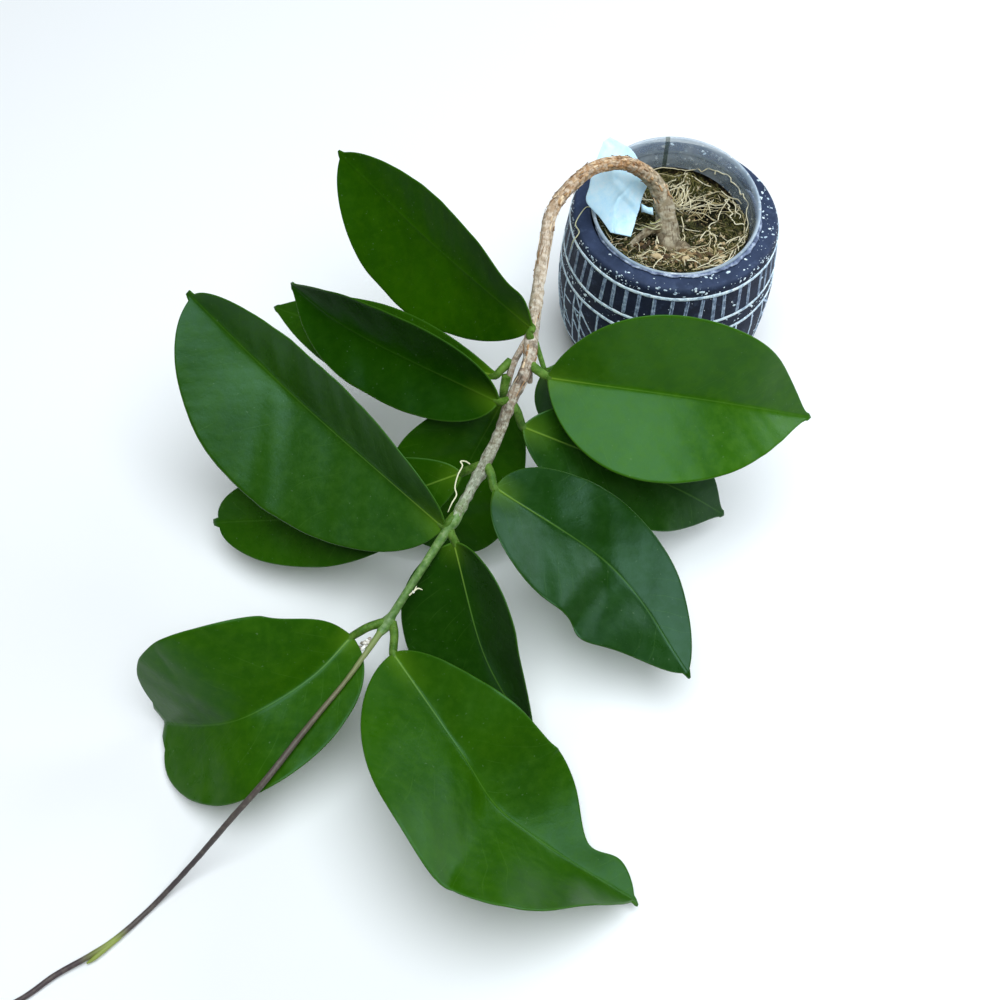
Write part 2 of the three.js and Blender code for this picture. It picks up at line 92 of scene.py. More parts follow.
# Roots that show one by one: x, y and height above the soil
CLEAR_ROOTS = [
    [(-2, 31, 2), (2, 34, 3), (7, 36, 3), (14, 36, 3), (21, 34, 2), (26, 30, 2), (30, 26, 2)],
    [(22, 32, 9), (23, 31, 13), (29, 26, 12), (32, 21, 10), (35.5, 15, 9), (37, 11, 6.5), (37.5, 5, 3),
     (35, -6, 2), (31, -15, 2), (30, -22, 2)],
    [(-13, 36, 8), (-1, 38.5, 8), (6, 38, 7), (14, 36, 8), (19, 33.5, 12), (23, 31, 13)],
    [(7, 33, 4), (13, 29, 2), (15, 26, 1), (17, 15, 2), (19, 8, 2)],
    [(30, 26, 2), (27, 16, 2), (23, 6, 1), (18, -3, 2), (16, -8, 2), (12, -15, 2)],
    [(3, 1, 3), (5, -8, 2), (5, -20, 2)],
    [(8, 34, 4), (9, 22, 2), (8, 9, 2)],
    [(5, 28, 3), (6, 23, 2), (4, 16, 2), (1, 15, 3)],
    [(0, 27, 3), (4, 27, 3), (8, 34, 4), (8, 37, 6)],
    [(30, 25, 2), (28, 18, 2), (29, 8, 1), (30, 1, 2), (35, -1, 2)],
    [(31, 22, 2), (32, 12, 3), (33, 4, 2)],
    [(32, -9, 2), (25, -14, 1), (21, -19, 2), (22, -21, 2)],
    [(16, -8, 2), (19, -12, 2), (19, -20, 2)],
    [(30, -12, 2), (21, -21, 2), (15, -32, 2)],
    [(-21, -28, 2), (-13, -25, 2), (-7, -24, 3)],
    [(-12, -36, 2), (-8, -29, 2), (-6, -26, 2)],
]

# Stems: routes of x, y, z, radius
WOODY_ROUTE = [
    (-2, -14, 73, 5), (-3.5, -15.5, 86, 7), (-4, -11, 92, 5.4), (-6.5, -2, 101, 4.8), (-11.5, 3.5, 110, 4),
    (-20.5, 1.5, 121, 3.4), (-30.5, -2, 128, 3.1), (-44, -9, 130, 3.1), (-56, -21, 127.5, 2.9),
    (-62.5, -32, 124, 2.8), (-64.5, -43, 120, 2.8), (-67.5, -66.5, 112, 2.8), (-70, -88, 104, 3.1),
    (-71, -101, 100, 2.9), (-78, -116, 92, 2.7), (-83, -130, 86, 2.4), (-89, -143, 80, 2.7),
    (-95, -154, 75, 2.2), (-101, -165, 70, 2.5),
]
LEAF_NODES = (186, 218, 250, 275)
BUTTRESSES = [
    [(-5, -10, 95, 3.2), (-11, -11, 94, 2.1), (-17, -13.5, 92.3, 1.7), (-23, -20, 90, 1.3)],
    [(-4, -15, 89, 4.4), (5, -20, 88.5, 3.4), (13, -26, 89.5, 1.8)],
    [(-4, -13, 90, 4), (2, -5, 87, 2.4), (8, 3, 86, 1.4)],
]
SPUR_ROUTE = [(-70, -87, 104, 1.8), (-74.5, -94, 101, 1.5), (-78, -100, 96.5, 1.6), (-80, -105.5, 89, 1.5)]
STUB_ROUTE = [(-71, -99, 100, 1.6), (-70, -104, 94, 1.2), (-70, -105.5, 91.5, 1.1)]
YOUNG_ROUTE = [(-101.4, -165.6, 69.7, 2.4), (-108, -175, 64.5, 2), (-120, -192, 54, 1.8),
               (-127, -202, 47.5, 1.9), (-131, -207, 44, 2.6)]
LEADER_ROUTE = [
    (-130.5, -206.5, 44.3, 1.7), (-138, -221, 45.2, 1.2), (-145.7, -233.7, 43.7, 1.0),
    (-154.9, -246.8, 42.1, 1.15), (-163.4, -259.4, 41.1, 1.3), (-175.4, -277.3, 38.8, 1.35),
    (-189.6, -290.7, 28, 1.3), (-205.1, -303.9, 12.5, 1.15), (-221.6, -319.9, 2.4, 1.1),
    (-234.6, -334, 2.2, 1.25), (-245, -342, 2.2, 1.2), (-257.8, -350.1, 1.7, 1.2), (-270, -360, 1.6, 1.15),
    (-288, -370, 1.5, 1.1), (-305, -383, 1.3, 1), (-318, -390, 1.1, 0.7),
]
NODE_SWELLINGS = [
    [(-126.5, -201.5, 47.8, 1.5), (-129, -204.6, 45.4, 2.9), (-131.2, -208, 44.4, 2.5),
     (-133, -211.3, 44.6, 1.4)],
    [(-99, -162, 71.2, 2.2), (-102, -166.5, 69.2, 3.0), (-105, -170.5, 67.2, 2.0)],
]
PAD_START = np.array((-136.2, -213.6, 44.6))
PAD_END = np.array((-139.8, -217.0, 43.9))
PAD_SPREAD = (2.2, 2.4, 2.2)
LEADER_BUD = [(-233.5, -333.9, 2.3, 0.7), (-239.5, -339.5, 2.3, 1.1), (-243, -342.9, 2.1, 0.95),
              (-245.6, -344.9, 1.8, 0.4)]
BUD_SHARE = 0.645

# Aerial roots: points, radius and tone of each
AERIAL_ROOTS = [
    ([(-95.5, -142, 78.4), (-97.6, -141.4, 79.6), (-99.7, -142.2, 80.5), (-98.8, -144.2, 80),
      (-100.6, -148.4, 79), (-101.7, -153.5, 77), (-100.9, -157, 76), (-102.7, -160.6, 75),
      (-104.4, -164, 72.6)], 0.34, 0.9),
    ([(-101.4, -165.6, 69.6), (-102.4, -169.7, 67), (-103, -171.9, 66), (-100.1, -173, 65)], 0.26, 0.8),
    ([(-41, 1, 95.4), (-44.7, 0.1, 95.5), (-49.3, -10, 95.4), (-47.6, -15.3, 95.4), (-48.7, -18.6, 95.3),
      (-50.4, -19.6, 93), (-51.4, -20, 88)], 0.26, 0.75),
    ([(-120, -196.4, 54.6), (-118, -195.2, 56.4), (-116.2, -194, 56.8), (-114.2, -194.5, 56.6)], 0.38, 1),
    ([(-118, -195.3, 56.4), (-117.2, -193.9, 57), (-116.9, -193, 57.2)], 0.28, 1),
]

# Tag: its two long edges, from the bottom up, and the two edges of its torn corner
TAG_LEFT = [(-32, -12, 92), (-38, -10.5, 100.5), (-45, -9, 109), (-44, -4, 114), (-43, 1, 118),
            (-41, 6, 122), (-38, 13, 127)]
TAG_RIGHT = [(-22, -13.5, 91), (-19, -4, 96.5), (-17, 2.5, 102), (-15, 7.5, 107.5), (-19, 11, 114),
             (-24, 14, 121.5), (-35, 15.5, 127.5)]
TORN_EDGES = np.array([[(-16.9, -2.0, 96.2), (-17.3, 0.4, 99.2)],
                       [(-11.5, -5.5, 98.6), (-12.1, -3.6, 100.8)]])
TAG_THICKNESS = 0.5
TAG_FORWARD = np.array((0, -0.75, 0.66))

# Leaves: path is the midrib, tone how dark the blade is, nip a side, a share of length, a depth and a reach
TIP_SPREAD = 0.42
LEAF_DEFAULTS = dict(lean=0, cup=0, wave=0.8, soft=1.5, nip=None, tip=TIP_SPREAD, pucker=0.035, rib=0.5,
                     veins=0.12, gloss=0.17, stalk_radius=2.1)
LEAVES = {
    "leaf_upper_left": dict(
        path=[(-70, -88, 109), (-119, -36, 108), (-165, 6, 122)], roll=-61, twist=25, width=58,
        widest=0.98, fullness=0.65, fold=12, lean=0.22, stalk=[(-70, -91, 104), (-71, -90, 107.5)],
        stalk_radius=1.7, nip=(-1, 0.03, -0.75, 0.06), soft=18, rib=0.1, veins=0.03, gloss=0.04, tone=0.5),
    "leaf_behind_rim_leaf": dict(
        path=[(-63, -101, 95), (-41, -94, 58), (-27, -94, 18)], roll=68, twist=-2, width=40,
        widest=0.71, fullness=0.66, fold=8, stalk=[(-69, -88, 103), (-67, -92, 100.5), (-65, -97.5, 97.5)],
        stalk_radius=1.2, tone=0.8),
    "leaf_spur_outer": dict(
        path=[(-86, -104, 94), (-145, -72, 75), (-199, -37, 57)], roll=-36, twist=0, width=38,
        widest=1, fullness=0.79, fold=13, stalk=[(-79, -98, 97), (-83, -102, 96)], tone=0.5),
    "leaf_spur_end": dict(
        path=[(-82, -108, 81), (-101, -129, 41), (-104, -150, 8)], roll=-20, twist=13, width=65,
        widest=1.14, fullness=0.42, fold=7, lean=-0.08, stalk=[(-80.5, -103, 93), (-81.5, -107, 87)],
        rib=0.15, tone=0.5),
    "leaf_in_front_of_pot": dict(
        path=[(-62, -107, 98), (13.5, -110, 88.6), (65, -98, 62)], roll=47, twist=-18, width=82,
        widest=0.63, fullness=0.98, fold=24, lean=0.02, cup=2, stalk=[(-71, -101, 100), (-66, -105, 99.5)],
        tone=0),
    "leaf_left_small": dict(
        path=[(-84, -117, 92), (-151, -78.5, 90), (-185, -50, 90)], roll=-59, twist=-8, width=47,
        widest=0.62, fullness=0.79, fold=27, cup=-1, stalk=[(-78, -116, 92), (-81, -117, 92.3)],
        soft=18, rib=0.1, veins=0.03, gloss=0.06, tone=0.9),
    "leaf_under_front_leaf": dict(
        path=[(-72, -122, 80), (-2.5, -128.5, 46), (29, -127, 18)], roll=35, twist=2, width=51,
        widest=0.65, fullness=0.96, fold=10, stalk=[(-78, -117, 91), (-75, -120, 88)],
        gloss=0.25, tone=0.8),
    "leaf_under_big_left": dict(
        path=[(-100, -143, 72), (-156, -149, 44), (-220, -143, 21)], roll=-39, twist=0, width=49,
        widest=1.25, fullness=0.44, fold=12, lean=-0.03, stalk=[(-89, -143, 80), (-94, -143, 77)],
        tone=0.5),
    "leaf_right_waved": dict(
        path=[(-84, -154, 78), (-29, -176, 47), (6, -220, 30)], roll=1, twist=14, width=63,
        widest=0.7, fullness=0.64, fold=11, lean=-0.14, nip=(-1, 0.69, -0.3, 0.14), wave=1.9,
        stalk=[(-88.5, -143, 80), (-86, -148, 80)], gloss=0.26, tone=0.95),
    "leaf_big_left": dict(
        path=[(-106, -169, 68), (-174, -110.5, 77), (-227, -73, 108)], roll=-50, twist=11, width=78,
        widest=0.93, fullness=0.52, fold=25, lean=0.25, stalk=[(-101, -164, 70), (-103.5, -167, 70)],
        stalk_radius=2.3, gloss=0.24, pucker=0.085, tone=0.5),
    "leaf_hanging_middle": dict(
        path=[(-101, -175, 65), (-85.5, -213, 30), (-62, -244, 8)], roll=51, twist=5, width=63,
        widest=0.7, fullness=0.74, fold=21, lean=-0.07, stalk=[(-103.5, -169, 67), (-102.5, -172, 66.5)],
        soft=10, rib=1, tone=0.85),
    "leaf_tucked_tip": dict(
        path=[(-145, -212, 43), (-161.5, -230.5, 39), (-185.5, -247, 36), (-205.5, -247.5, 24),
              (-231, -240, 6)], roll=-27, twist=-2, width=85, widest=1.63, fullness=0.28, fold=27,
        lean=-0.16, cup=-1, stalk=[(-130, -205, 45), (-136, -207.5, 46), (-141, -210, 45)],
        tip=2.6, pucker=0.07, tone=0.3),
    "leaf_lowest_right": dict(
        path=[(-126, -219, 42), (-96.5, -258, 35.6), (-77.5, -280, 20.6), (-46.5, -298.5, 10.7),
              (-17, -314, 6)], roll=-12, twist=-34, width=100, widest=0.9, fullness=0.67, fold=32, lean=-0.28,
        nip=(1, 0.8, 0.6, 0.1), wave=1.4, stalk=[(-127.5, -205, 44.5), (-126, -211, 44)], tone=0.35),
}
LEAF_ROWS = 110
LEAF_COLUMNS = 17
LEAF_TIP_ROWS = 8
LEAF_THICKNESS = 1.3
LEAF_EDGE_THICKNESS = 0.8
LEAF_END_WIDTH = 1
DRIP_TIP = 3.6
TIP_DROOP = 1.4
VEIN_SPACING = 9

# Leaf textures: scale and detail of the noise
BLOTCHES = (20, 5)
LEATHER = (210, 5)
CELLS = (1400, 3)
DUST = (650, 2)

# Stage, in metres
FLOOR_REACH = 30
FLOOR_LEVEL = -0.0002
LIGHT_TARGET = (-0.08, -0.15, 0.05)


# Shapes as numbers: points, faces and values for each point

def unit(vectors):
    return vectors / np.linalg.norm(vectors, axis=-1, keepdims=True)


def curve(path, shares):
    """Points and directions on the smooth curve through path, at shares from 0 to 1."""
    knots = np.asarray(path, float)
    count = len(knots) - 1
    knots = np.vstack([2 * knots[0] - knots[1], knots, 2 * knots[-1] - knots[-2]])
    place = np.clip(np.asarray(shares, float), 0, 1) * count
    first = np.minimum(place.astype(int), count - 1)
    t = (place - first)[:, None]
    a, b, c, d = (knots[first + i] for i in range(4))
    bend, turn = 2 * a - 5 * b + 4 * c - d, 3 * b - a - 3 * c + d
    points = 0.5 * (2 * b + (c - a) * t + bend * t**2 + turn * t**3)
    return points, unit((c - a) + 2 * bend * t + 3 * turn * t**2)


def lengths_along(points):
    steps = np.linalg.norm(np.diff(points, axis=0), axis=1)
    return np.concatenate([[0], np.cumsum(steps)])


def turned(vectors, axes, angle):
    """Vectors turned about axes, both at right angles to each other."""
    return np.cos(angle) * vectors + np.sin(angle) * np.cross(axes, vectors)


def circle(count):
    """Angles all the way round, without the last."""
    return np.linspace(0, FULL_TURN, count, endpoint=False)


def polar(reach, angle):
    return reach * np.cos(angle), reach * np.sin(angle)


def placed(reach, angle, height):
    """Points at a reach and angle round the Z axis."""
    return np.stack(np.broadcast_arrays(*polar(reach, angle), height), axis=-1)


def spokes(angles, across, up):
    """Directions at angles in the plane of across and up."""
    return np.cos(angles)[:, None] * across + np.sin(angles)[:, None] * up


def seeded(seed):
    return np.random.default_rng(seed)


def any_angle(rng):
    """A direction; the range is just over a full turn."""
    return rng.uniform(0, 6.3)


def on_disc(rng, radius):
    """A random place, as likely everywhere on a disc."""
    angle = rng.uniform(0, FULL_TURN)
    return polar(radius * rng.random() ** 0.5, angle)


def mostly_small(rng, least, most):
    """A size between least and most, seldom a large one."""
    return least + (most - least) * rng.random() ** 3.2


def wavy(values, seed):
    """Smooth irregular values between about -1 and 1, the same each run."""
    rng = seeded(seed)
    total = np.zeros(np.shape(values))
    for _ in range(5):
        total = total + np.sin(np.asarray(values) * rng.uniform(0.4, 2.2) + any_angle(rng))
    return total / 5**0.5 / 1.4


class Shape:
    """Points in millimetres, faces, and named values at the points."""

    def __init__(self, points, faces, **values):
        self.points = np.asarray(points, float).reshape(-1, 3)
        self.faces = faces
        self.values = {name: np.asarray(v, float).reshape(-1) for name, v in values.items()}


def toned(shape, tone):
    """The shape with one tone all over, and no other values."""
    shape.values = {"tone": np.full(len(shape.points), tone)}
    return shape


def joined(shapes):
    names = set().union(*(shape.values for shape in shapes))
    faces, start = [], 0
    for shape in shapes:
        faces += [tuple(i + start for i in face) for face in shape.faces]
        start += len(shape.points)
    values = {
        name: np.concatenate([s.values.get(name, np.zeros(len(s.points))) for s in shapes])
        for name in names
    }
    return Shape(np.vstack([s.points for s in shapes]), faces, **values)


def ring_faces(rings, sides):
    """Faces between rings of points, each ring joined to itself, with a cap at each end."""
    faces = []
    for i in range(rings - 1):
        for k in range(sides):
            a, b = i * sides + k, i * sides + (k + 1) % sides
            faces.append((a, b, b + sides, a + sides))
    last = (rings - 1) * sides
    return faces + [tuple(range(sides - 1, -1, -1)), tuple(range(last, last + sides))]


def rod(route, sides, steps, swell=None, rounded=True):
    """A round rod along route; swell(lengths, angles) gives how far the skin stands out."""
    shares = np.linspace(0, 1, steps + 1)
    route = np.asarray(route, float)
    centres, tangents = curve(route[:, :3], shares)
    radii = np.interp(shares * (len(route) - 1), np.arange(len(route)), route[:, 3])
    if rounded:
        ends = np.array([0.35, 0.8, 1])
        sink = 0.5 * (1 - ends[:, None])
        centres = np.vstack([centres[:1] - tangents[:1] * radii[0] * sink, centres[1:-1],
                             centres[-1:] + tangents[-1:] * radii[-1] * sink[::-1]])
        tangents = np.vstack([tangents[[0, 0, 0]], tangents[1:-1], tangents[[-1, -1, -1]]])
        radii = np.concatenate([radii[0] * ends, radii[1:-1], radii[-1] * ends[::-1]])
    lengths = lengths_along(centres)
    angles = circle(sides)
    across = np.array([0.3, 0.5, 0.81])
    points = []
    for i, (centre, tangent) in enumerate(zip(centres, tangents)):
        across = unit(across - tangent * (across @ tangent))
        reach = radii[i] + (swell(lengths[i], angles) if swell else 0)
        reach = np.maximum(reach * np.ones(sides), 0.15 * radii[i])[:, None]
        points.append(centre + reach * spokes(angles, across, np.cross(tangent, across)))
    along = np.repeat(lengths, sides)
    return Shape(points, ring_faces(len(centres), sides), along=along, share=along / lengths[-1],
                 around=np.tile(angles / FULL_TURN, len(centres)))


def strand(points, radius, sides, tone, steps):
    """A thin rod of one tone that gets thinner at its end."""
    route = [(*p, radius) for p in points[:-1]] + [(*points[-1], radius * 0.45)]
    return toned(rod(route, sides, steps, rounded=False), tone)


def lathe(profile, sides):
    """A profile of (radius, height) turned about the Z axis, on which its first and last points lie."""
    rings = np.asarray(profile, float)[1:-1]
    angles = circle(sides)
    points = placed(rings[:, :1], angles, rings[:, 1:])
    return Shape(points, ring_faces(len(rings), sides), along=points[..., 2],
                 around=np.tile(angles / FULL_TURN, len(rings)))


def sheet_shape(sheet, thickness):
    """A closed thin sheet from rows of points."""
    normal = unit(np.cross(np.gradient(sheet, axis=0), np.gradient(sheet, axis=1)))
    top, under = sheet + normal * thickness / 2, sheet - normal * thickness / 2
    points = np.concatenate([top, under[:, ::-1]], axis=1)
    return Shape(points, ring_faces(len(points), points.shape[1]))


def crumb(centre, size, rng, stretch=1.0, rough=0.35):
    """An uneven lump, longer one way when stretched."""
    turn = rng.uniform(0, 3.1) if stretch > 1 else 0
    rings = []
    for height in (-0.9, -0.45, 0.15, 0.65, 0.95):
        uneven = 1 + rough * (rng.random(LUMP_SIDES) - 0.5)
        x, y = polar(size * math.sqrt(max(0.05, 1 - height**2)) * uneven, circle(LUMP_SIDES))
        x, y = x * stretch, y / stretch
        rise = height * size * (0.75 + 0.5 * rough * (rng.random(LUMP_SIDES) - 0.5))
        ring = [x * math.cos(turn) - y * math.sin(turn), x * math.sin(turn) + y * math.cos(turn), rise]
        rings.append(np.asarray(centre) + np.stack(ring, axis=1))
    return toned(Shape(rings, ring_faces(len(rings), LUMP_SIDES)), rng.random())


def moved(points, place):
    matrix = np.array(place)
    return np.asarray(points) @ matrix[:3, :3].T + matrix[:3, 3]


def smooth_profile(corners, spacing):
    """Points on the rounded line through corners, no further apart than spacing."""
    corners = np.asarray(corners, float)
    flat = np.c_[corners, np.zeros(len(corners))]
    out = []
    for i in range(len(corners) - 1):
        steps = max(1, int(np.ceil(np.linalg.norm(corners[i + 1] - corners[i]) / spacing)))
        shares = (i + np.arange(steps) / steps) / (len(corners) - 1)
        out.append(curve(flat, shares)[0][:, :2])
    return np.vstack(out + [corners[-1:]])


def add_object(name, data):
    made = bpy.data.objects.new(name, data)
    bpy.context.scene.collection.objects.link(made)
    return made


def add_piece(name, shape, material, slot, *nodes):
    mesh = bpy.data.meshes.new(name)
    mesh.from_pydata((shape.points * MM).tolist(), [], shape.faces)
    for key, values in shape.values.items():
        mesh.attributes.new(key, "FLOAT", "POINT").data.foreach_set("value", values)
    mesh.polygons.foreach_set("use_smooth", [True] * len(mesh.polygons))
    mesh.materials.append(material)
    piece = add_object(name, mesh)
    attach(piece, "root")
    if nodes:
        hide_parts(*nodes)


# Materials

def rgb(red, green, blue):
    """A colour given as it shows on a screen, 0 to 255."""
    channels = (c / 255 for c in (red, green, blue))
    return tuple(c / 12.92 if c <= 0.04045 else ((c + 0.055) / 1.055) ** 2.4 for c in channels) + (1,)


class Nodes:
    """A material's shader, built node by node. A colour of three numbers is one for rgb()."""

    def __init__(self, name, roughness=0.5, **sockets):
        self.material = bpy.data.materials.new(name)
        self.material.use_nodes = True
        self.tree = self.material.node_tree
        self.shader = self.tree.nodes["Principled BSDF"]
        self.shader.inputs["Roughness"].default_value = roughness
        for socket, value in sockets.items():
            self.shader.inputs[socket.replace("_", " ")].default_value = value

    def join(self, value, socket):
        if isinstance(value, bpy.types.NodeSocket):
            self.tree.links.new(value, socket)
        else:
            socket.default_value = rgb(*value) if isinstance(value, tuple) and len(value) == 3 else value

    def node(self, kind, *values, settings=(), **inputs):
        """A new node; values go to its inputs in their order, inputs by name."""
        made = self.tree.nodes.new("ShaderNode" + kind)
        for key, value in settings:
            setattr(made, key, value)
        for key, value in [*enumerate(values), *inputs.items()]:
            self.join(value, made.inputs[key])
        return made

    def value(self, name):
        """A value stored at the mesh's points."""
        return self.node("Attribute", settings=[("attribute_name", name)]).outputs["Fac"]

    def math(self, operation, *values):
        return self.node("Math", *values, settings=[("operation", operation)]).outputs[0]

    def times(self, first, second):
        return self.math("MULTIPLY", first, second)

    def plus(self, first, second):
        return self.math("ADD", first, second)

    def ramp(self, value, *stops):
        """A colour or grey for value; stops are (position, colour or grey)."""
        made = self.node("ValToRGB", value)
        elements = made.color_ramp.elements
        while len(elements) < len(stops):
            elements.new(1)
        for element, (position, shade) in zip(elements, stops):
            element.position = position
            element.color = rgb(*shade) if isinstance(shade, tuple) else (shade, shade, shade, 1)
        return made.outputs["Color"]

    def even_ramp(self, value, low, high, shades):
        """Shades evenly spaced from low to high."""
        return self.ramp(value, *zip(np.linspace(low, high, len(shades)), shades))

    def mix(self, factor, first, second, blend="MIX"):
        return self.node("MixRGB", factor, first, second, settings=[("blend_type", blend)]).outputs[0]

    def overlay(self, color, shade, value, none_at, most_at, most=1):
        """The colour with a shade over it, which grows as value goes from none_at to most_at."""
        return self.mix(self.ramp(value, *sorted([(none_at, 0), (most_at, most)])), color, shade)

    def noise(self, scale, detail=4.0, vector=None):
        """Noise over the object, in its own metres unless a vector is given."""
        vector = vector or self.node("TexCoord").outputs["Object"]
        return self.node("TexNoise", Vector=vector, Scale=scale, Detail=detail, Roughness=0.6).outputs["Fac"]

    def bump(self, height, strength, distance, **under):
        """The normal of a surface that height raises by up to distance, in millimetres."""
        return self.node("Bump", Height=height, Strength=strength, Distance=distance * MM, **under).outputs[0]

    def done(self, color, **sockets):
        for socket, value in {"Base Color": color, **sockets}.items():
            self.join(value, self.shader.inputs[socket])
        return self.material


def strand_material(name, *shades, roughness=0.7):
    """Colour changes from strand to strand and a little along each."""
    make = Nodes(name, roughness=roughness)
    tone = make.plus(make.value("tone"), make.times(make.noise(600), 0.2))
    return make.done(make.even_ramp(tone, 0.1, 1, shades), Normal=make.bump(make.noise(1500), 0.4, 0.15))


# Pot

def pot_radius(height):
    radii, heights = zip(*POT_SIDE)
    return np.interp(height, heights, radii)


def pot_material():
    """Matt navy glaze, mottled, with a paler rim and paler worn patches."""
    make = Nodes("pot_glaze", roughness=0.75, Specular_IOR_Level=0.25)
    mottle, grain = make.noise(90, 6), make.noise(1100, 3)
    side = make.ramp(mottle, (0.3, (14, 22, 42)), (0.7, (26, 37, 62)))
    rim = make.ramp(mottle, (0.3, (34, 46, 70)), (0.7, (52, 65, 94)))
    color = make.overlay(side, rim, make.times(make.value("along"), 1 / POT_HEIGHT), 0.975, 0.998)
    color = make.overlay(color, (92, 110, 140), make.noise(240, 5), 0.56, 0.74, 0.3)
    normal = make.bump(make.mix(0.5, grain, mottle), 0.3, 0.3)
    return make.done(color, Normal=normal, Roughness=make.ramp(grain, (0.3, 0.6), (0.7, 0.8)))


def paint_material(name, *shades):
    """Pale paint that lies unevenly, so the navy shows through in places."""
    make = Nodes(name, roughness=0.55)
    color = make.even_ramp(make.noise(420, 6), 0.34, 0.68, shades)
    return make.done(color, Normal=make.bump(make.noise(1400, 3), 0.4, 0.25))


def pot_body():
    """The pot turned from its profile: foot, side, flat rim, inside and floor."""
    side = smooth_profile(POT_SIDE, 1.2)
    rim = [(49.0, 95), (47, 95.05), (44.5, 95), (42.7, 95), (42.2, 94.8)]
    wall = [(POT_MOUTH_RADIUS, 94.2), (43.1, 60), (41.9, 32), (39.6, 17), (33, POT_FLOOR)]
    foot, floor = [(0, 0), (20, 0), (38.4, 0)], [(16, POT_FLOOR), (0, POT_FLOOR)]
    profile = np.vstack([foot, side, rim, smooth_profile(wall, 3), floor])
    return lathe(profile, 240)


def ribbon(route, width, relief):
    """A low raised line on the pot's side; route holds (angle, height) points."""
    route = np.asarray(route, float)
    unrolled = np.c_[route[:, 0] * UNROLLED_RADIUS, route[:, 1], np.zeros(len(route))]
    steps = max(2, int(lengths_along(unrolled)[-1] / RIBBON_STEP))
    shares = np.linspace(0, 1, steps + 1)
    flat, ahead = curve(unrolled, shares)
    aside = np.c_[-ahead[:, 1], ahead[:, 0]]
    uneven = 1 + 0.16 * wavy(lengths_along(flat) * 0.7 + route[0, 0] * 40, 5)
    narrow_ends = np.minimum(1, 0.5 + 3 * np.minimum(shares, 1 - shares) * steps / 4)
    widths = width * uneven * narrow_ends
    points = []
    for across, lift in ((-0.5, -0.15), (-0.42, 0.75), (-0.15, 1), (0.15, 1), (0.42, 0.75), (0.5, -0.15)):
        place = flat[:, :2] + aside * (widths * across)[:, None]
        angle, height = place[:, 0] / UNROLLED_RADIUS, place[:, 1]
        points.append(placed(pot_radius(height) + lift * relief, angle, height))
    return Shape(np.stack(points, axis=1), ring_faces(steps + 1, 6))


def line_rings():
    """The bright lines all the way round, a little wavy."""
    lines = []
    angles = np.linspace(0, FULL_TURN, 97)
    for height in LINE_HEIGHTS:
        wander = 0.2 * np.sin(5 * angles + height) + 0.12 * np.sin(11 * angles + 2 * height)
        lines.append(ribbon(np.c_[angles, height + wander], LINE_WIDTH, 0.4))
    return joined(lines)


def upright_bars():
    """Greyer bars between the top two lines, each two brush strokes side by side."""
    rng = seeded(SPECK_SEED)
    low, high = LINE_HEIGHTS[2:]
    bars = []
    for k in range(BAR_COUNT):
        angle = FULL_TURN * (k + 0.3 * (rng.random() - 0.5)) / BAR_COUNT
        lean = 0.014 * (rng.random() - 0.5)
        for aside in (-STROKE_GAP, STROKE_GAP):
            bend = 0.003 * (rng.random() - 0.5)
            start, end = low + rng.uniform(0.5, 1.2), high - rng.uniform(0.4, 1.4)
            middle = (angle + aside + lean + bend, (low + high) / 2)
            route = [(angle + aside, start), middle, (angle + aside + 2 * lean, end)]
            bars.append(ribbon(route, BAR_WIDTH * rng.uniform(0.36, 0.6), 0.26))
    return joined(bars)


def lower_pattern():
    """Uprights, long slanted lines and short bars that make boxes and triangles."""
    rng = seeded(SPECK_SEED + 1)
    low, high = LINE_HEIGHTS[:2]
    step = FULL_TURN / FIELD_COUNT
    lines = []
    for k in range(FIELD_COUNT):
        start = step * k
        for share in UPRIGHT_SHARES:
            angle = start + step * (share + 0.05 * (rng.random() - 0.5))
            route = [(angle, high - 0.6), (angle + 0.008, 45), (angle, low + 0.6)]
            lines.append(ribbon(route, 1.2, PATTERN_RELIEF))
        for drop in (0, 9, 18):
            top, foot = high - 1 - drop, low + 1 + max(0, 8 - drop)
            left, right = start + 0.01, start + 0.01 + step * (0.92 - drop * 0.022)
            route = [(right, foot), ((left + right) / 2, (top + foot) / 2), (left, top)]
            lines.append(ribbon(route, 1.1, PATTERN_RELIEF))
        for height in (37, 52):
            height += rng.uniform(-2, 2)
            left = start + step * rng.choice(UPRIGHT_SHARES)
            lines.append(ribbon([(left, height), (left + step * 0.3, height + 0.5)], 1.1, PATTERN_RELIEF))
    return joined(lines)


def speck(centre, outward, size, rng):
    """A low blob of paint: a dome with an uneven, often long edge."""
    outward = unit(np.asarray(outward, float))
    across = unit(np.cross(outward, (0.3, 0.2, 0.9)))
    angles = circle(LUMP_SIDES)
    edge = size / 2 * (1 + 0.5 * (rng.random(LUMP_SIDES) - 0.5))
    edge = edge * (0.75 + 0.7 * np.cos(angles - any_angle(rng)) ** 2)
    out = edge[:, None] * spokes(angles, across, np.cross(outward, across))
    rings = [centre + share * out + outward * lift for share, lift in ((1, -0.12), (0.8, 0.1), (0.35, 0.17))]
    return Shape(rings, ring_faces(len(rings), LUMP_SIDES))


def pot_specks():
    """Specks of paint on the rim, mostly on its right, and in bands round the side."""
    rng = seeded(SPECK_SEED)
    specks = []
    for _ in range(330):
        angle, radius = rng.uniform(0, FULL_TURN), rng.uniform(43, 49.4)
        if rng.random() < 0.4 + 0.4 * np.cos(angle - 0.1):
            centre = placed(radius, angle, POT_HEIGHT)
            specks.append(speck(centre, (0, 0, 1), mostly_small(rng, 0.3, 1.9), rng))
    for low, high, count in ((91, 94.6, 330), (64.8, 71.6, 260), (3, 90, 420)):
        for _ in range(count):
            angle, height = rng.uniform(0, FULL_TURN), rng.uniform(low, high)
            centre = placed(pot_radius(height), angle, height)
            specks.append(speck(centre, placed(1, angle, 0), mostly_small(rng, 0.3, 1.7), rng))
    return joined(specks)


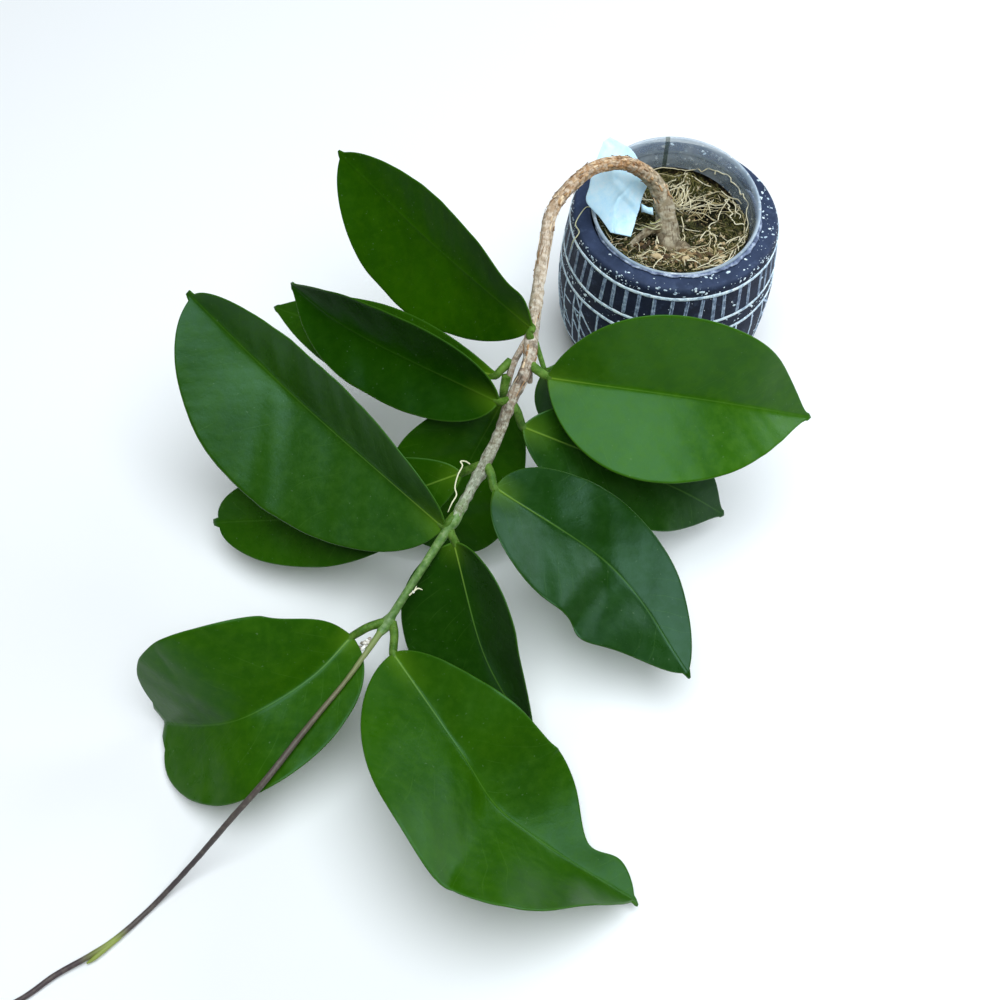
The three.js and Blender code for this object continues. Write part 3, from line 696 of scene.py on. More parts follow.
def build_pot():
    bright = paint_material("pot_line_paint", (150, 172, 194), (212, 232, 244), (244, 252, 255))
    bar = paint_material("pot_bar_paint", (66, 82, 112), (132, 152, 178), (192, 210, 228))
    lower = paint_material("pot_pattern_paint", (110, 130, 160), (178, 200, 222), (224, 240, 250))
    add_piece("pot_body", pot_body(), pot_material(), "pot", "pot")
    add_piece("pot_lines", line_rings(), bright, "pot")
    add_piece("pot_bars", upright_bars(), bar, "pot")
    add_piece("pot_lower_pattern", lower_pattern(), lower, "pot")
    add_piece("pot_specks", pot_specks(), bright, "pot")


# Liner

def liner_place():
    """How the liner stands in the pot, tilted towards the viewer."""
    tilt = Matrix.Rotation(math.radians(LINER_TILT), 4, "X")
    return Matrix.Translation(LINER_RIM_CENTRE) @ tilt @ Matrix.Translation((0, 0, -LINER_HEIGHT))


def liner_inside(height):
    """The radius of the liner's inside at a height above its foot."""
    return LINER_FOOT_RADIUS + (LINER_TOP_RADIUS - LINER_FOOT_RADIUS) * height / LINER_HEIGHT - LINER_WALL


def liner_material():
    """Thin clear plastic, hazy with lime; a pale step below its lip and a grey-green seam at the back."""
    make = Nodes("clear_liner", roughness=0.2, IOR=1.45)
    haze, marks = make.noise(45, 5), make.noise(330, 3)
    height = make.times(make.value("along"), 1 / LINER_HEIGHT)
    seam = make.math("COMPARE", make.value("around"), 0.262, 0.0045)
    step = make.math("COMPARE", height, 0.905, 0.006)
    lip = make.ramp(height, (0.955, 0), (0.985, 1))
    alpha = make.plus(make.ramp(haze, (0.3, 0.16), (0.7, 0.42)), make.ramp(marks, (0.62, 0), (0.7, 0.45)))
    for band, opacity in ((seam, 0.5), (step, 0.55), (lip, 0.68)):
        alpha = make.math("MAXIMUM", alpha, make.times(band, opacity))
    color = make.overlay((168, 190, 210), (210, 222, 232), haze, 0.35, 0.65)
    color = make.overlay(color, (236, 244, 250), marks, 0.62, 0.7)
    color = make.mix(seam, color, (112, 128, 124))
    return make.done(color, Normal=make.bump(make.noise(500, 3), 0.25, 0.2), Alpha=alpha)


def liner_shape():
    """A thin cup with low rings round its wall and a rolled lip."""
    rings = (20, 40, 60, 70, 78)
    heights = sorted([LINER_WALL, 85] + [h + d for h in rings for d in (-1, 0, 1)])
    inside = [(liner_inside(h) + (0.25 if h in rings else 0), h) for h in heights]
    outside = [(radius + LINER_WALL, h) for radius, h in inside]
    lip = [(41.2, 86), (41.7, 86.5), (41.75, 87.5), (41.2, 88.05), (40.6, 88.1), (40.2, 87.6)]
    foot, floor = [(0, 0), (14, 0), (27.2, 0)], [(13, LINER_WALL), (0, LINER_WALL)]
    shape = lathe(foot + outside + lip + inside[::-1] + floor, 160)
    shape.points = moved(shape.points, liner_place())
    return shape


def film_material():
    make = Nodes("lip_film", roughness=0.45)
    patches = make.noise(300, 5)
    color = make.ramp(patches, (0.35, (56, 68, 100)), (0.52, (108, 122, 152)), (0.7, (184, 196, 216)))
    return make.done(color, Normal=make.bump(patches, 0.5, 0.3))


def lip_film():
    """A ragged strip of film that closes the gap between the liner's lip and the pot."""
    angles = np.linspace(LIP_FILM_START, LIP_FILM_END, 160)
    ends = np.sin(np.pi * (angles - angles[0]) / (angles[-1] - angles[0])) ** 0.3
    ragged = 0.5 * wavy(angles * 26, 8) + 0.35 * wavy(angles * 70, 9)
    wall = LIP_FILM_INNER - 1.5 * np.minimum(0, np.sin(angles)) - 0.5 * np.cos(angles)
    rows = []
    for share in (0, 0.3, 0.6, 0.85, 1):
        reach = wall + share * (LIP_FILM_OUTER + 0.7 * ragged - wall) * ends
        height = LIP_FILM_HEIGHT + 0.5 * np.sin(np.pi * share) + 0.12 * wavy(angles * 40 + share * 3, 10)
        rows.append(placed(reach, angles, height))
    return sheet_shape(np.stack(rows), 0.16)


def build_liner():
    add_piece("liner_cup", liner_shape(), liner_material(), "clear_liner", "clear_liner")
    add_piece("liner_lip_film", lip_film(), film_material(), "clear_liner")


# Soil, moss and roots

def soil_top(x, y):
    """The height of the soil's surface without its relief."""
    lumps = 1.1 * np.sin(x / 6 + 1) * np.cos(y / 5) + 0.7 * np.sin(x / 3.1 - y / 4.3)
    return SOIL_LEVEL - SOIL_SLOPE * y + lumps


def soil_relief(x, y):
    """Clumps, hollows (darkened by painted shade in the soil's material) and a raised back edge, in
    millimetres above soil_top.
    """
    clumps = np.sin(x * 0.62 + 1.7 * np.sin(y * 0.31)) * np.sin(y * 0.71 + 1.3 * np.sin(x * 0.43))
    crumbs = np.sin(x * 1.9 + 3 * np.sin(y)) * np.sin(y * 2.3 + 2 * np.sin(x * 0.8))
    hollows = sum(depth * np.exp(-(((x - at_x) ** 2 + (y - at_y) ** 2) / wide**2))
                  for at_x, at_y, wide, depth in SOIL_HOLLOWS)
    bank = 3.2 * np.clip((y - 18) / 16, 0, 1)
    return 1.1 * clumps + 0.5 * crumbs - hollows + bank


def on_soil(x, y, lift):
    return x, y, float(soil_top(x, y)) + lift


def soil_limit(angle):
    """How far out the soil reaches at an angle, where its top meets the liner's wall."""
    inverse = liner_place().inverted()
    reach = 38.0
    for _ in range(8):
        local = inverse @ Vector(on_soil(*polar(reach, angle), 0))
        reach += liner_inside(local.z) - 0.35 - math.hypot(local.x, local.y)
    return reach


def soil_shape():
    """The filling: a lumpy top, with its relief as a value that the material turns into painted shade in the
    hollows, and the liner's inside below it.
    """
    rng = seeded(21)
    sides, rings = 190, 64
    angles = circle(sides)
    limits = np.array([soil_limit(a) for a in angles])
    points, dips = [], []
    for ring in range(1, rings + 1):
        x, y = polar(limits * ring / rings, angles)
        dips.append(soil_relief(x, y) + 0.35 * (rng.random(sides) - 0.5))
        points.append(np.c_[x, y, soil_top(x, y) + dips[-1] * min(1, (rings - ring) / 4)])
    points.insert(0, points[0].mean(axis=0) + placed(0.01, angles, 0))
    for height in (70, 45, 20, 1.1):
        points.append(moved(placed(liner_inside(height) - 0.3, angles, height), liner_place()))
    flat = np.zeros(sides)
    return Shape(points, ring_faces(len(points), sides), relief=np.concatenate([flat, *dips, *[flat] * 4]))


def soil_material():
    """Olive and brown earth and moss, made nearly black in the hollows by painted shade."""
    make = Nodes("soil_and_moss", roughness=0.95, Specular_IOR_Level=0.15)
    crumbs = make.noise(520, 8)
    earth = make.ramp(crumbs, (0.34, (12, 11, 6)), (0.52, (46, 38, 22)), (0.7, (112, 92, 56)))
    moss = make.ramp(crumbs, (0.34, (14, 17, 4)), (0.52, (46, 50, 16)), (0.7, (98, 98, 44)))
    color = make.overlay(earth, moss, make.noise(60, 6), 0.42, 0.58)
    # Painted shade: the lower the relief, the darker the colour, down to nearly black in the hollows.
    depth = make.math("MULTIPLY_ADD", make.value("relief"), 0.16, 0.7)
    color = make.mix(1.0, color, make.ramp(depth, (0.1, 0.06), (0.75, 1)), "MULTIPLY")
    return make.done(color, Normal=make.bump(crumbs, 0.9, 1.3))


def soil_lumps():
    """Tan chips of dry root and bark round the stem's foot, and smaller crumbs everywhere."""
    rng = seeded(52)
    lumps = []
    foot = ((260, 5, 8.5, -26, 4, 0.5, 2.0), (110, -16, 9, -22, 5.5, 0.4, 1.4), (60, 24, 7, -22, 5, 0.4, 1.3))
    for count, x_middle, x_spread, y_middle, y_spread, least, most in foot:
        for _ in range(count):
            x, y = rng.normal(x_middle, x_spread), rng.normal(y_middle, y_spread)
            if math.hypot(x, y) < ROOT_REACH:
                centre = on_soil(x, y, rng.uniform(-0.4, 1.9))
                size = mostly_small(rng, least, most)
                lumps.append(crumb(centre, size, rng, rng.uniform(1, 1.6), 0.9))
    for _ in range(420):
        x, y = on_disc(rng, 38)
        centre = on_soil(x, y, float(soil_relief(x, y)) + 0.2)
        lumps.append(crumb(centre, rng.uniform(0.3, 0.9), rng, 1.2, 0.7))
    return joined(lumps)


def moss_strands():
    """Short curled strands in clumps, few of them in the hollows."""
    rng = seeded(33)
    strands = []
    while len(strands) < MOSS_COUNT:
        x, y = on_disc(rng, 38.5)
        relief = float(soil_relief(x, y))
        if math.hypot(x + 1, y + 12) < 6 or relief < rng.uniform(-3.5, 0.2):
            continue
        heading, length = any_angle(rng), rng.uniform(1.5, 5.5)
        turn, rise = rng.uniform(-1.6, 1.6), rng.uniform(0.4, 2.2)
        points = []
        for step in (0.0, 0.9, 1.0, 0.35):
            points.append(on_soil(x, y, float(soil_relief(x, y)) + step * rise))
            heading += turn / 3
            x, y = x + math.cos(heading) * length / 3, y + math.sin(heading) * length / 3
        if max(math.hypot(px, py) for px, py, _ in points) < 38.6:
            # Painted shade: strands lower in the relief get a darker tone, those higher up a lighter one.
            tone = np.clip(rng.normal(0.4 + 0.12 * relief, 0.25), 0, 1)
            strands.append(strand(points, rng.uniform(0.08, 0.2), 4, tone, 4))
    return joined(strands)


def main_roots():
    """The circling root and the twelve that wander out to it."""
    rng = seeded(7)
    angles = np.radians(-80 + 16 * np.arange(19))
    circling = [on_soil(*polar(CIRCLING_RADIUS + 1 + math.sin(3 * a), a), ROOT_LIFT) for a in angles]
    roots = [strand(circling, ROOT_RADIUS * 0.6, 8, 0.5, 150)]
    for k in range(12):
        start, swing = math.radians(-70 + 250 * k / 12), math.radians(70 * (rng.random() - 0.5))
        points = []
        for share in np.arange(7) / 6:
            wander = math.radians(16 * (rng.random() - 0.5))
            place = polar(9 + share * (CIRCLING_RADIUS - 8.5), start + swing * share + wander)
            points.append(on_soil(*place, rng.uniform(-0.6, 0.9)))
        roots.append(strand(points, ROOT_RADIUS * rng.uniform(0.3, 0.6), 8, rng.uniform(0, 0.5), 60))
    return roots


def wandering_root(rng, x, y, heading, steps, lift, curl):
    """Points of a thin root that wanders over the moss and turns along the liner's wall."""
    points = []
    for _ in range(steps):
        reach = math.hypot(x, y)
        if reach > ROOT_REACH:
            x, y = x * ROOT_REACH / reach, y * ROOT_REACH / reach
            outward = math.atan2(y, x)
            heading = outward + math.copysign(1.75, math.sin(heading - outward) + 0.01)
        points.append(on_soil(x, y, max(0.3, lift + rng.uniform(-0.8, 0.8))))
        heading += rng.uniform(-curl, curl)
        x, y = x + ROOT_STEP * math.cos(heading), y + ROOT_STEP * math.sin(heading)
    return points


def wavy_route(route, rng, aside, lift):
    """The route with more points between its own, each pushed a little aside and up or down."""
    route = np.asarray(route, float)
    points = []
    for start, end in zip(route, route[1:]):
        for share in (0, 0.33, 0.66):
            push = (rng.random(3) - 0.5) * (aside, aside, lift)
            points.append(start * (1 - share) + end * share + push)
    return points + [route[-1]]


def fine_roots():
    """Thin pale roots: the clear ones with their branches, a fan at the back, wall roots and wisps."""
    rng = seeded(12)
    roots = []

    def add(points, thickness, least_tone):
        radius = thickness * rng.uniform(0.75, 1.25)
        roots.append(strand(points, radius, 6, rng.uniform(least_tone, 1), 5 * len(points)))

    def grow(x, y, heading, steps, lift, curl, thickness, least_tone=0.1):
        add(wandering_root(rng, x, y, heading, steps, lift, curl), thickness, least_tone)

    for route in CLEAR_ROOTS:
        points = wavy_route([on_soil(*place) for place in route], rng, 2.0, 1.2)
        add(points, 0.29, 0.6)
        for _ in range(2):
            x, y, z = points[rng.integers(1, len(points) - 1)]
            if math.hypot(x, y) < 36 and z < soil_top(x, y) + 4:
                grow(x, y, any_angle(rng), rng.integers(3, 6), 1.6, 0.6, 0.18, 0.5)
    # The fan at the back
    for _ in range(34):
        angle = math.radians(rng.uniform(30, 150))
        grow(9 * math.cos(angle), 15 * math.sin(angle), angle + rng.uniform(-0.9, 0.7),
             rng.integers(4, 10), rng.uniform(0.8, 3), 0.6, 0.19, 0.4)
    # Along the liner's wall
    for _ in range(16):
        angle = math.radians(rng.uniform(-60, 150))
        grow(*polar(35, angle), angle + rng.choice([-1.6, 1.6]),
             rng.integers(5, 11), rng.uniform(0.8, 4), 0.3, 0.21, 0.4)
    # Short wisps everywhere
    for _ in range(170):
        angle, reach = any_angle(rng), 36 * rng.random() ** 0.5
        grow(*polar(reach, angle), any_angle(rng),
             rng.integers(3, 6), rng.uniform(0.3, 1.8), 0.8, 0.14)
    # Thicker ones in front of the stem's foot
    for _ in range(60):
        x, y = rng.normal(2, 9), rng.normal(-26, 4)
        if math.hypot(x, y) < 33:
            grow(x, y, any_angle(rng), 3, rng.uniform(0.8, 2.6), 1.1, 0.27)
    return roots


def build_soil():
    moss = strand_material("moss", (20, 22, 6), (66, 68, 26), (132, 124, 68), roughness=0.9)
    lumps = strand_material("dry_lumps", (58, 42, 24), (128, 102, 66), (196, 174, 134), roughness=0.9)
    pale = strand_material("pale_roots", (92, 76, 42), (176, 160, 112), (236, 228, 196))
    add_piece("soil_bed", soil_shape(), soil_material(), "soil", "soil")
    add_piece("moss_strands", moss_strands(), moss, "soil")
    add_piece("soil_crumbs", soil_lumps(), lumps, "soil")
    add_piece("surface_root_mat", joined(main_roots() + fine_roots()), pale, "roots", "surface_roots")


# Stems

def bark_swell(seed, depth, nodes=(), foot=0.0):
    """Bark that stands out unevenly: long ridges, knots, a knobby foot and a ring at each leaf node."""
    def swell(length, angles):
        ridges = wavy(angles * 3 + length * 0.08, seed) + 0.6 * wavy(angles * 8 + length * 0.5, seed + 1)
        knots = 0.6 * wavy(angles * 1.5 + length * 0.5, seed + 3) * wavy(angles * 2 - length * 0.3, seed + 4)
        knobs = foot * math.exp(-length / 24) * wavy(angles * 2 + length * 0.5, seed + 2)
        scars = sum(math.exp(-(((length - at) / 1.3) ** 2)) for at in nodes)
        return depth * (0.35 * ridges + knots + 0.5 * scars) + knobs
    return swell


def bark_material():
    """Grey-beige near the foot, flaky tan and cream over the arch, then beige, dark-flecked and grey."""
    make = Nodes("bark", roughness=0.85, Specular_IOR_Level=0.25)
    share, around = make.value("share"), make.value("around")
    lengthwise = make.times(make.value("along"), 0.05)
    streaks, patches = (
        make.noise(scale, detail, make.node("CombineXYZ", lengthwise, make.times(around, squeeze)).outputs[0])
        for scale, detail, squeeze in ((5, 6, 5), (9, 5, 0.6))
    )
    spots, blots = make.noise(520, 6), make.noise(170, 4)
    main = make.ramp(share, (0, (118, 100, 72)), (0.08, (144, 132, 108)), (0.19, (164, 148, 120)),
                     (0.25, (176, 130, 88)), (0.33, (178, 138, 98)), (0.42, (184, 156, 126)),
                     (0.52, (190, 170, 146)), (0.66, (178, 162, 140)), (0.74, (160, 138, 118)),
                     (0.83, (142, 136, 114)), (0.93, (146, 154, 132)), (1, (124, 146, 94)))
    pale = make.ramp(share, (0, (158, 146, 118)), (0.12, (192, 184, 162)), (0.3, (226, 206, 180)),
                     (0.6, (226, 216, 200)), (0.8, (200, 198, 180)), (1, (190, 200, 176)))
    color = make.overlay(main, pale, patches, 0.45, 0.58, 0.75)
    color = make.overlay(color, (82, 60, 38), streaks, 0.48, 0.32, 0.85)
    color = make.overlay(color, (96, 74, 50), spots, 0.54, 0.66, 0.45)
    flecked = make.ramp(share, (0.02, 0.7), (0.12, 0.25), (0.2, 0), (0.62, 0.1), (0.72, 0.8), (0.86, 0.45),
                        (1, 0.1))
    color = make.mix(make.times(make.ramp(blots, (0.5, 0), (0.6, 1)), flecked), color, (66, 52, 38))
    height = make.plus(make.mix(0.5, streaks, spots), make.times(patches, 0.5))
    return make.done(color, Normal=make.bump(height, 0.9, 0.7))


def green_stem_material():
    make = Nodes("green_stem", roughness=0.5)
    spots = make.noise(420, 5)
    color = make.ramp(spots, (0.35, (72, 112, 44)), (0.56, (104, 142, 70)), (0.72, (150, 170, 116)))
    color = make.overlay(color, (112, 124, 92), make.noise(70, 4), 0.5, 0.7, 0.5)
    return make.done(color, Normal=make.bump(spots, 0.4, 0.3))


def shoot_material():
    """Green where it starts, brown-purple along its length, yellow-green round its bud."""
    make = Nodes("leader_shoot", roughness=0.55)
    spots = make.noise(420, 5)
    main = make.ramp(make.value("share"), (0, (112, 140, 64)), (0.06, (128, 140, 84)),
                     (0.13, (108, 104, 74)), (0.22, (84, 74, 64)), (0.5, (64, 56, 58)), (0.62, (72, 62, 58)),
                     (BUD_SHARE, (140, 156, 66)), (0.675, (116, 124, 60)), (0.7, (70, 58, 60)),
                     (1, (62, 50, 52)))
    color = make.overlay(main, (136, 126, 110), spots, 0.5, 0.75, 0.35)
    return make.done(color, Normal=make.bump(spots, 0.4, 0.25))


def trunk_frame(share, angle):
    """The trunk's centre, direction and radius at a share of its route, and the way out at an angle."""
    route = np.asarray(WOODY_ROUTE, float)
    centre, tangent = (values[0] for values in curve(route[:, :3], [share]))
    radius = np.interp(share * (len(route) - 1), np.arange(len(route)), route[:, 3])
    aside = unit(np.cross(tangent, (0.2, 0.1, 1)))
    return centre, tangent, radius, math.cos(angle) * aside + math.sin(angle) * np.cross(tangent, aside)


def flake(rng, share, angle):
    """A thin plate of bark that lifts off the trunk at one end."""
    centre, tangent, radius, outward = trunk_frame(share, angle)
    across = np.cross(tangent, outward)
    length, width, lift = rng.uniform(1.2, 3.6), rng.uniform(0.6, 1.6), rng.uniform(0.05, 0.6)
    direction = rng.choice([-1, 1])
    rings = []
    for end in np.arange(5) / 4:
        along = direction * length * (end - 0.3)
        narrow = 1 - 0.5 * end**2 + 0.3 * (rng.random() - 0.5)
        ring = []
        for side, height in ((-1, 0), (0, 0.14), (1, 0), (1, -0.12), (0, 0.04), (-1, -0.12)):
            aside = side * width / 2
            out_by = math.sqrt(max(0.1, radius**2 - aside**2)) + 0.1 + lift * end**2 + height
            ring.append(centre + tangent * along + across * aside * narrow + outward * out_by)
        rings.append(ring if direction > 0 else ring[::-1])
    return toned(Shape(rings, ring_faces(5, 6)), rng.random())


def bark_fibres():
    """Loose plates over the arch and some fibres further down the stem."""
    rng = seeded(61)
    pieces = []
    for count, start, end in ((170, 0.18, 0.48), (50, 0.48, 0.78)):
        pieces += [flake(rng, rng.uniform(start, end), any_angle(rng)) for _ in range(count)]
    for _ in range(45):
        share, angle, span = rng.uniform(0.2, 0.8), any_angle(rng), rng.uniform(0.01, 0.035)
        stand = rng.uniform(0.0, 0.15)
        points = []
        for end in np.arange(5) / 4:
            centre, _, radius, outward = trunk_frame(share + span * end, angle + 0.25 * end)
            points.append(centre + outward * (radius + stand))
        pieces.append(strand(points, rng.uniform(0.1, 0.2), 5, rng.random(), 12))
    return joined(pieces)


def aerial_threads():
    """Thin pale roots: those of AERIAL_ROOTS, and some over the tag's foot."""
    rng = seeded(71)
    threads = list(AERIAL_ROOTS)
    for _ in range(11):
        x, y, z = rng.uniform(-9, -6), rng.uniform(-12, -7), rng.uniform(93, 100)
        points = [(x, y, z)]
        heading = rng.uniform(2.8, 3.9)
        for _ in range(rng.integers(3, 6)):
            heading += rng.uniform(-0.8, 0.8)
            x, y, z = x + 3 * math.cos(heading), y + 2.2 * math.sin(heading), z + rng.uniform(-1.8, 1.0)
            points.append((x, min(y, -11), max(z, float(soil_top(x, y)) + 0.5)))
        threads.append((points, rng.uniform(0.13, 0.26), rng.uniform(0.1, 1)))
    return joined([strand(points, radius, 6, tone, 10 * len(points)) for points, radius, tone in threads])


def stem_nubs():
    """A small pale swelling on the green stem, and a rough pad at the shoot's side where it starts."""
    rng = seeded(77)
    nubs = [crumb((-118.2, -195.4, 56), 0.7, rng)]
    for along in np.linspace(0, 1, 34):
        centre = PAD_START * (1 - along) + PAD_END * along + (rng.random(3) - 0.5) * PAD_SPREAD
        nubs.append(crumb(centre, rng.uniform(0.6, 1.05), rng, 1.1, 0.8))
    return joined(nubs)


def woody_stem_shape():
    """Trunk, root buttresses, spur and stub; share gives each branch the bark colour of its place."""
    trunk = rod(WOODY_ROUTE, 40, 460, bark_swell(4, 0.6, LEAF_NODES, 1.3))
    buttresses = [rod(route, 24, 60, bark_swell(9 + i, 0.7, foot=1.0)) for i, route in enumerate(BUTTRESSES)]
    for buttress in buttresses:
        buttress.values["share"] *= 0.1
    spur = rod(SPUR_ROUTE, 20, 50, bark_swell(14, 0.4))
    spur.values["share"] = 0.68 + 0.06 * spur.values["share"]
    stub = rod(STUB_ROUTE, 16, 24, bark_swell(15, 0.3))
    stub.values["share"][:] = 0.75
    return joined([trunk, *buttresses, spur, stub])


def shoot_shape():
    bud = rod(LEADER_BUD, 14, 20)
    bud.values["share"][:] = BUD_SHARE
    return joined([rod(LEADER_ROUTE, 20, 420, bark_swell(18, 0.14)), bud])


def build_stems():
    young = [rod(YOUNG_ROUTE, 28, 90, bark_swell(17, 0.16))]
    young += [rod(route, 24, 24, bark_swell(19, 0.14)) for route in NODE_SWELLINGS]
    fibres = strand_material("bark_fibres", (120, 86, 52), (186, 144, 96), (230, 206, 170))
    cream = strand_material("aerial_roots", (120, 118, 60), (186, 184, 120), (232, 230, 196))
    chalk = strand_material("chalky_nubs", (140, 130, 112), (224, 218, 206), (252, 250, 246))
    add_piece("woody_stem_bark", woody_stem_shape(), bark_material(), "bark", "woody_stem")
    add_piece("bark_flakes", bark_fibres(), fibres, "bark")
    add_piece("young_stem_skin", joined(young), green_stem_material(), "green_stem", "young_stem")
    add_piece("leader_shoot_skin", shoot_shape(), shoot_material(), "shoot", "leader_shoot")
    add_piece("aerial_threads", aerial_threads(), cream, "roots")
    add_piece("stem_nubs", stem_nubs(), chalk, "green_stem")


# Leaves

def leaf_half_width(leaf, share, side, to_tip):
    """Half the blade's width; it runs out into a narrow tip."""
    round_part = np.sin(np.pi * np.minimum(share, 0.9995) ** leaf["widest"]) ** leaf["fullness"]
    width = leaf["width"] / 2 * round_part * (1 + side * leaf["lean"])
    if leaf["nip"] and leaf["nip"][0] == side:
        _, at, depth, reach = leaf["nip"]
        width = width * (1 - depth * np.exp(-(((share - at) / reach) ** 2)))
    spread = TIP_SPREAD + (leaf["tip"] - TIP_SPREAD) * share**12
    return np.hypot(width, LEAF_END_WIDTH / 2 + spread * np.minimum(to_tip, DRIP_TIP))


def leaf_frame(leaf, u):
    """Points on the midrib with the directions across the blade and out of its top."""
    path = np.asarray(leaf["path"], float)
    chord = unit(path[-1] - path[0])
    level = turned(unit(np.cross((0, 0, 1), chord)), chord, math.radians(leaf["roll"]))
    middle, tangent = curve(path, u)
    flat = unit(level - (tangent @ level)[:, None] * tangent)
    side = turned(flat, tangent, np.radians(leaf["twist"] * (u - 0.5))[:, None])
    return middle, side, np.cross(tangent, side)


def leaf_lift(leaf, along, across, half, u, seed):
    """How far the blade stands above the plane through its midrib."""
    reach = np.abs(across)
    soft = leaf["soft"]
    rise = (np.hypot(reach, soft) - soft) * half / (np.hypot(half, soft) - soft)
    lift = rise * math.sin(math.radians(leaf["fold"])) + leaf["cup"] * (reach / (leaf["width"] / 2)) ** 2
    slack = np.minimum(1, reach / 9) * np.sin(np.pi * u)[:, None]
    waves = leaf["wave"] * wavy(along / 11 + np.sign(across) * 4, seed)
    waves = waves + 0.3 * wavy(along / 5 + across / 7, seed + 1)
    pucker = leaf["pucker"] * np.sin((along - 0.9 * reach) * FULL_TURN / VEIN_SPACING)
    ridge = 0.12 * np.exp(-((reach / 0.4) ** 2))
    return lift + slack * (waves + pucker) + ridge


def leaf_rows(chord_length):
    """Each row's share of the blade's length, its place on the midrib and the way left to the tip."""
    share = 0.5 - 0.5 * np.cos(np.pi * np.arange(LEAF_ROWS + 1) / LEAF_ROWS)
    u = share * (1 - DRIP_TIP / chord_length)
    u = np.concatenate([u, np.linspace(u[-1], 1, LEAF_TIP_ROWS + 1)[1:]])
    return np.concatenate([share, np.ones(LEAF_TIP_ROWS)]), u, (1 - u) * chord_length


def leaf_faces(centre, v, half, reach, to_tip):
    """The top and underside round the blade's middle, thin at the edge and with the midrib below."""
    normal = unit(np.cross(np.gradient(centre, axis=0), np.gradient(centre, axis=1)))
    rim = np.minimum(0.7, half * 0.6)
    edge = np.sqrt(np.clip(1 - np.clip((reach - half + rim) / rim, 0, 1) ** 2, 0, 1))
    end = np.sqrt(np.clip(to_tip / 0.6, 0.1, 1))[:, None]
    thickness = (LEAF_THICKNESS + (LEAF_EDGE_THICKNESS - LEAF_THICKNESS) * v**2) * edge * end
    midrib = 0.5 * end * np.exp(-((reach / 1.3) ** 2))
    return centre + normal * (thickness / 2)[..., None], centre - normal * (thickness / 2 + midrib)[..., None]


def leaf_blade(leaf, seed):
    """The blade as a closed skin: rings that run over the top and back underneath."""
    share, u, to_tip = leaf_rows(math.dist(leaf["path"][0], leaf["path"][-1]))
    column = np.arange(-LEAF_COLUMNS, LEAF_COLUMNS + 1) / LEAF_COLUMNS
    v = np.sign(column) * (0.5 - 0.5 * np.cos(np.pi * column))
    left, right = (leaf_half_width(leaf, share, sign, to_tip)[:, None] for sign in (-1, 1))
    half = np.where(v < 0, left, right)
    across = v * half
    reach = np.abs(across)
    middle, side, up = leaf_frame(leaf, u)
    along = lengths_along(middle)[:, None] * np.ones(len(v))
    droop = TIP_DROOP * (np.clip(1 - to_tip / DRIP_TIP, 0, 1) ** 2)[:, None]
    lift = leaf_lift(leaf, along, across, half, u, seed) - droop
    level = across * math.cos(math.radians(leaf["fold"]))
    centre = middle[:, None] + level[..., None] * side[:, None] + lift[..., None] * up[:, None]
    top, under = leaf_faces(centre, v, half, reach, to_tip)

    def around(above, below=None):
        return np.concatenate([above, (above if below is None else below)[:, -2:0:-1]], axis=1)

    points = around(top, under)
    slope = reach * 0.95 - reach**2 * 0.008
    vein = (along - slope + 1.1 * wavy(reach / 8 + along / 11, seed + 2)) / VEIN_SPACING
    return Shape(points, ring_faces(len(u), points.shape[1]), along=around(along), across=around(across),
                 share=around(share[:, None] * np.ones(len(v))), vein=around(vein),
                 face=around(np.ones_like(along), np.zeros_like(along)), edge=around(half - reach))


def leaf_petiole(leaf):
    """The stalk, which runs on under the blade as the midrib; its share of -1 tells the material."""
    radius = leaf["stalk_radius"] * 0.92
    u = np.array([0, 5, 14, 30]) / math.dist(leaf["path"][0], leaf["path"][-1])
    middle, _, up = leaf_frame(leaf, u)
    under = middle - up * radius * np.array([0.35, 0.6, 0.55, 0.4])[:, None]
    route = [(*p, radius * (1.15 if i == 0 else 1)) for i, p in enumerate(leaf["stalk"])]
    route += [(*p, radius * k) for p, k in zip(under, (0.95, 0.75, 0.5, 0.25))]

    def swell(length, angles):
        return 0.05 * np.sin(length * 0.7 + angles) + 0.1 * np.cos(angles * 2 + length * 0.05)

    shape = rod(route, 20, 70, swell)
    count = len(shape.points)
    return Shape(shape.points, shape.faces, share=np.full(count, -1.0), edge=np.full(count, 5.0),
                 along=shape.values["along"])


def vein_lines(make):
    """Thin side veins that show in patches and stop short of the edge."""
    line = make.ramp(make.math("PINGPONG", make.value("vein"), 0.5), (0, 1), (0.028, 0))
    patchy = make.ramp(make.noise(34, 2), (0.48, 0), (0.62, 1))
    return make.times(line, make.times(make.ramp(make.value("edge"), (0.5, 0), (1, 1)), patchy))


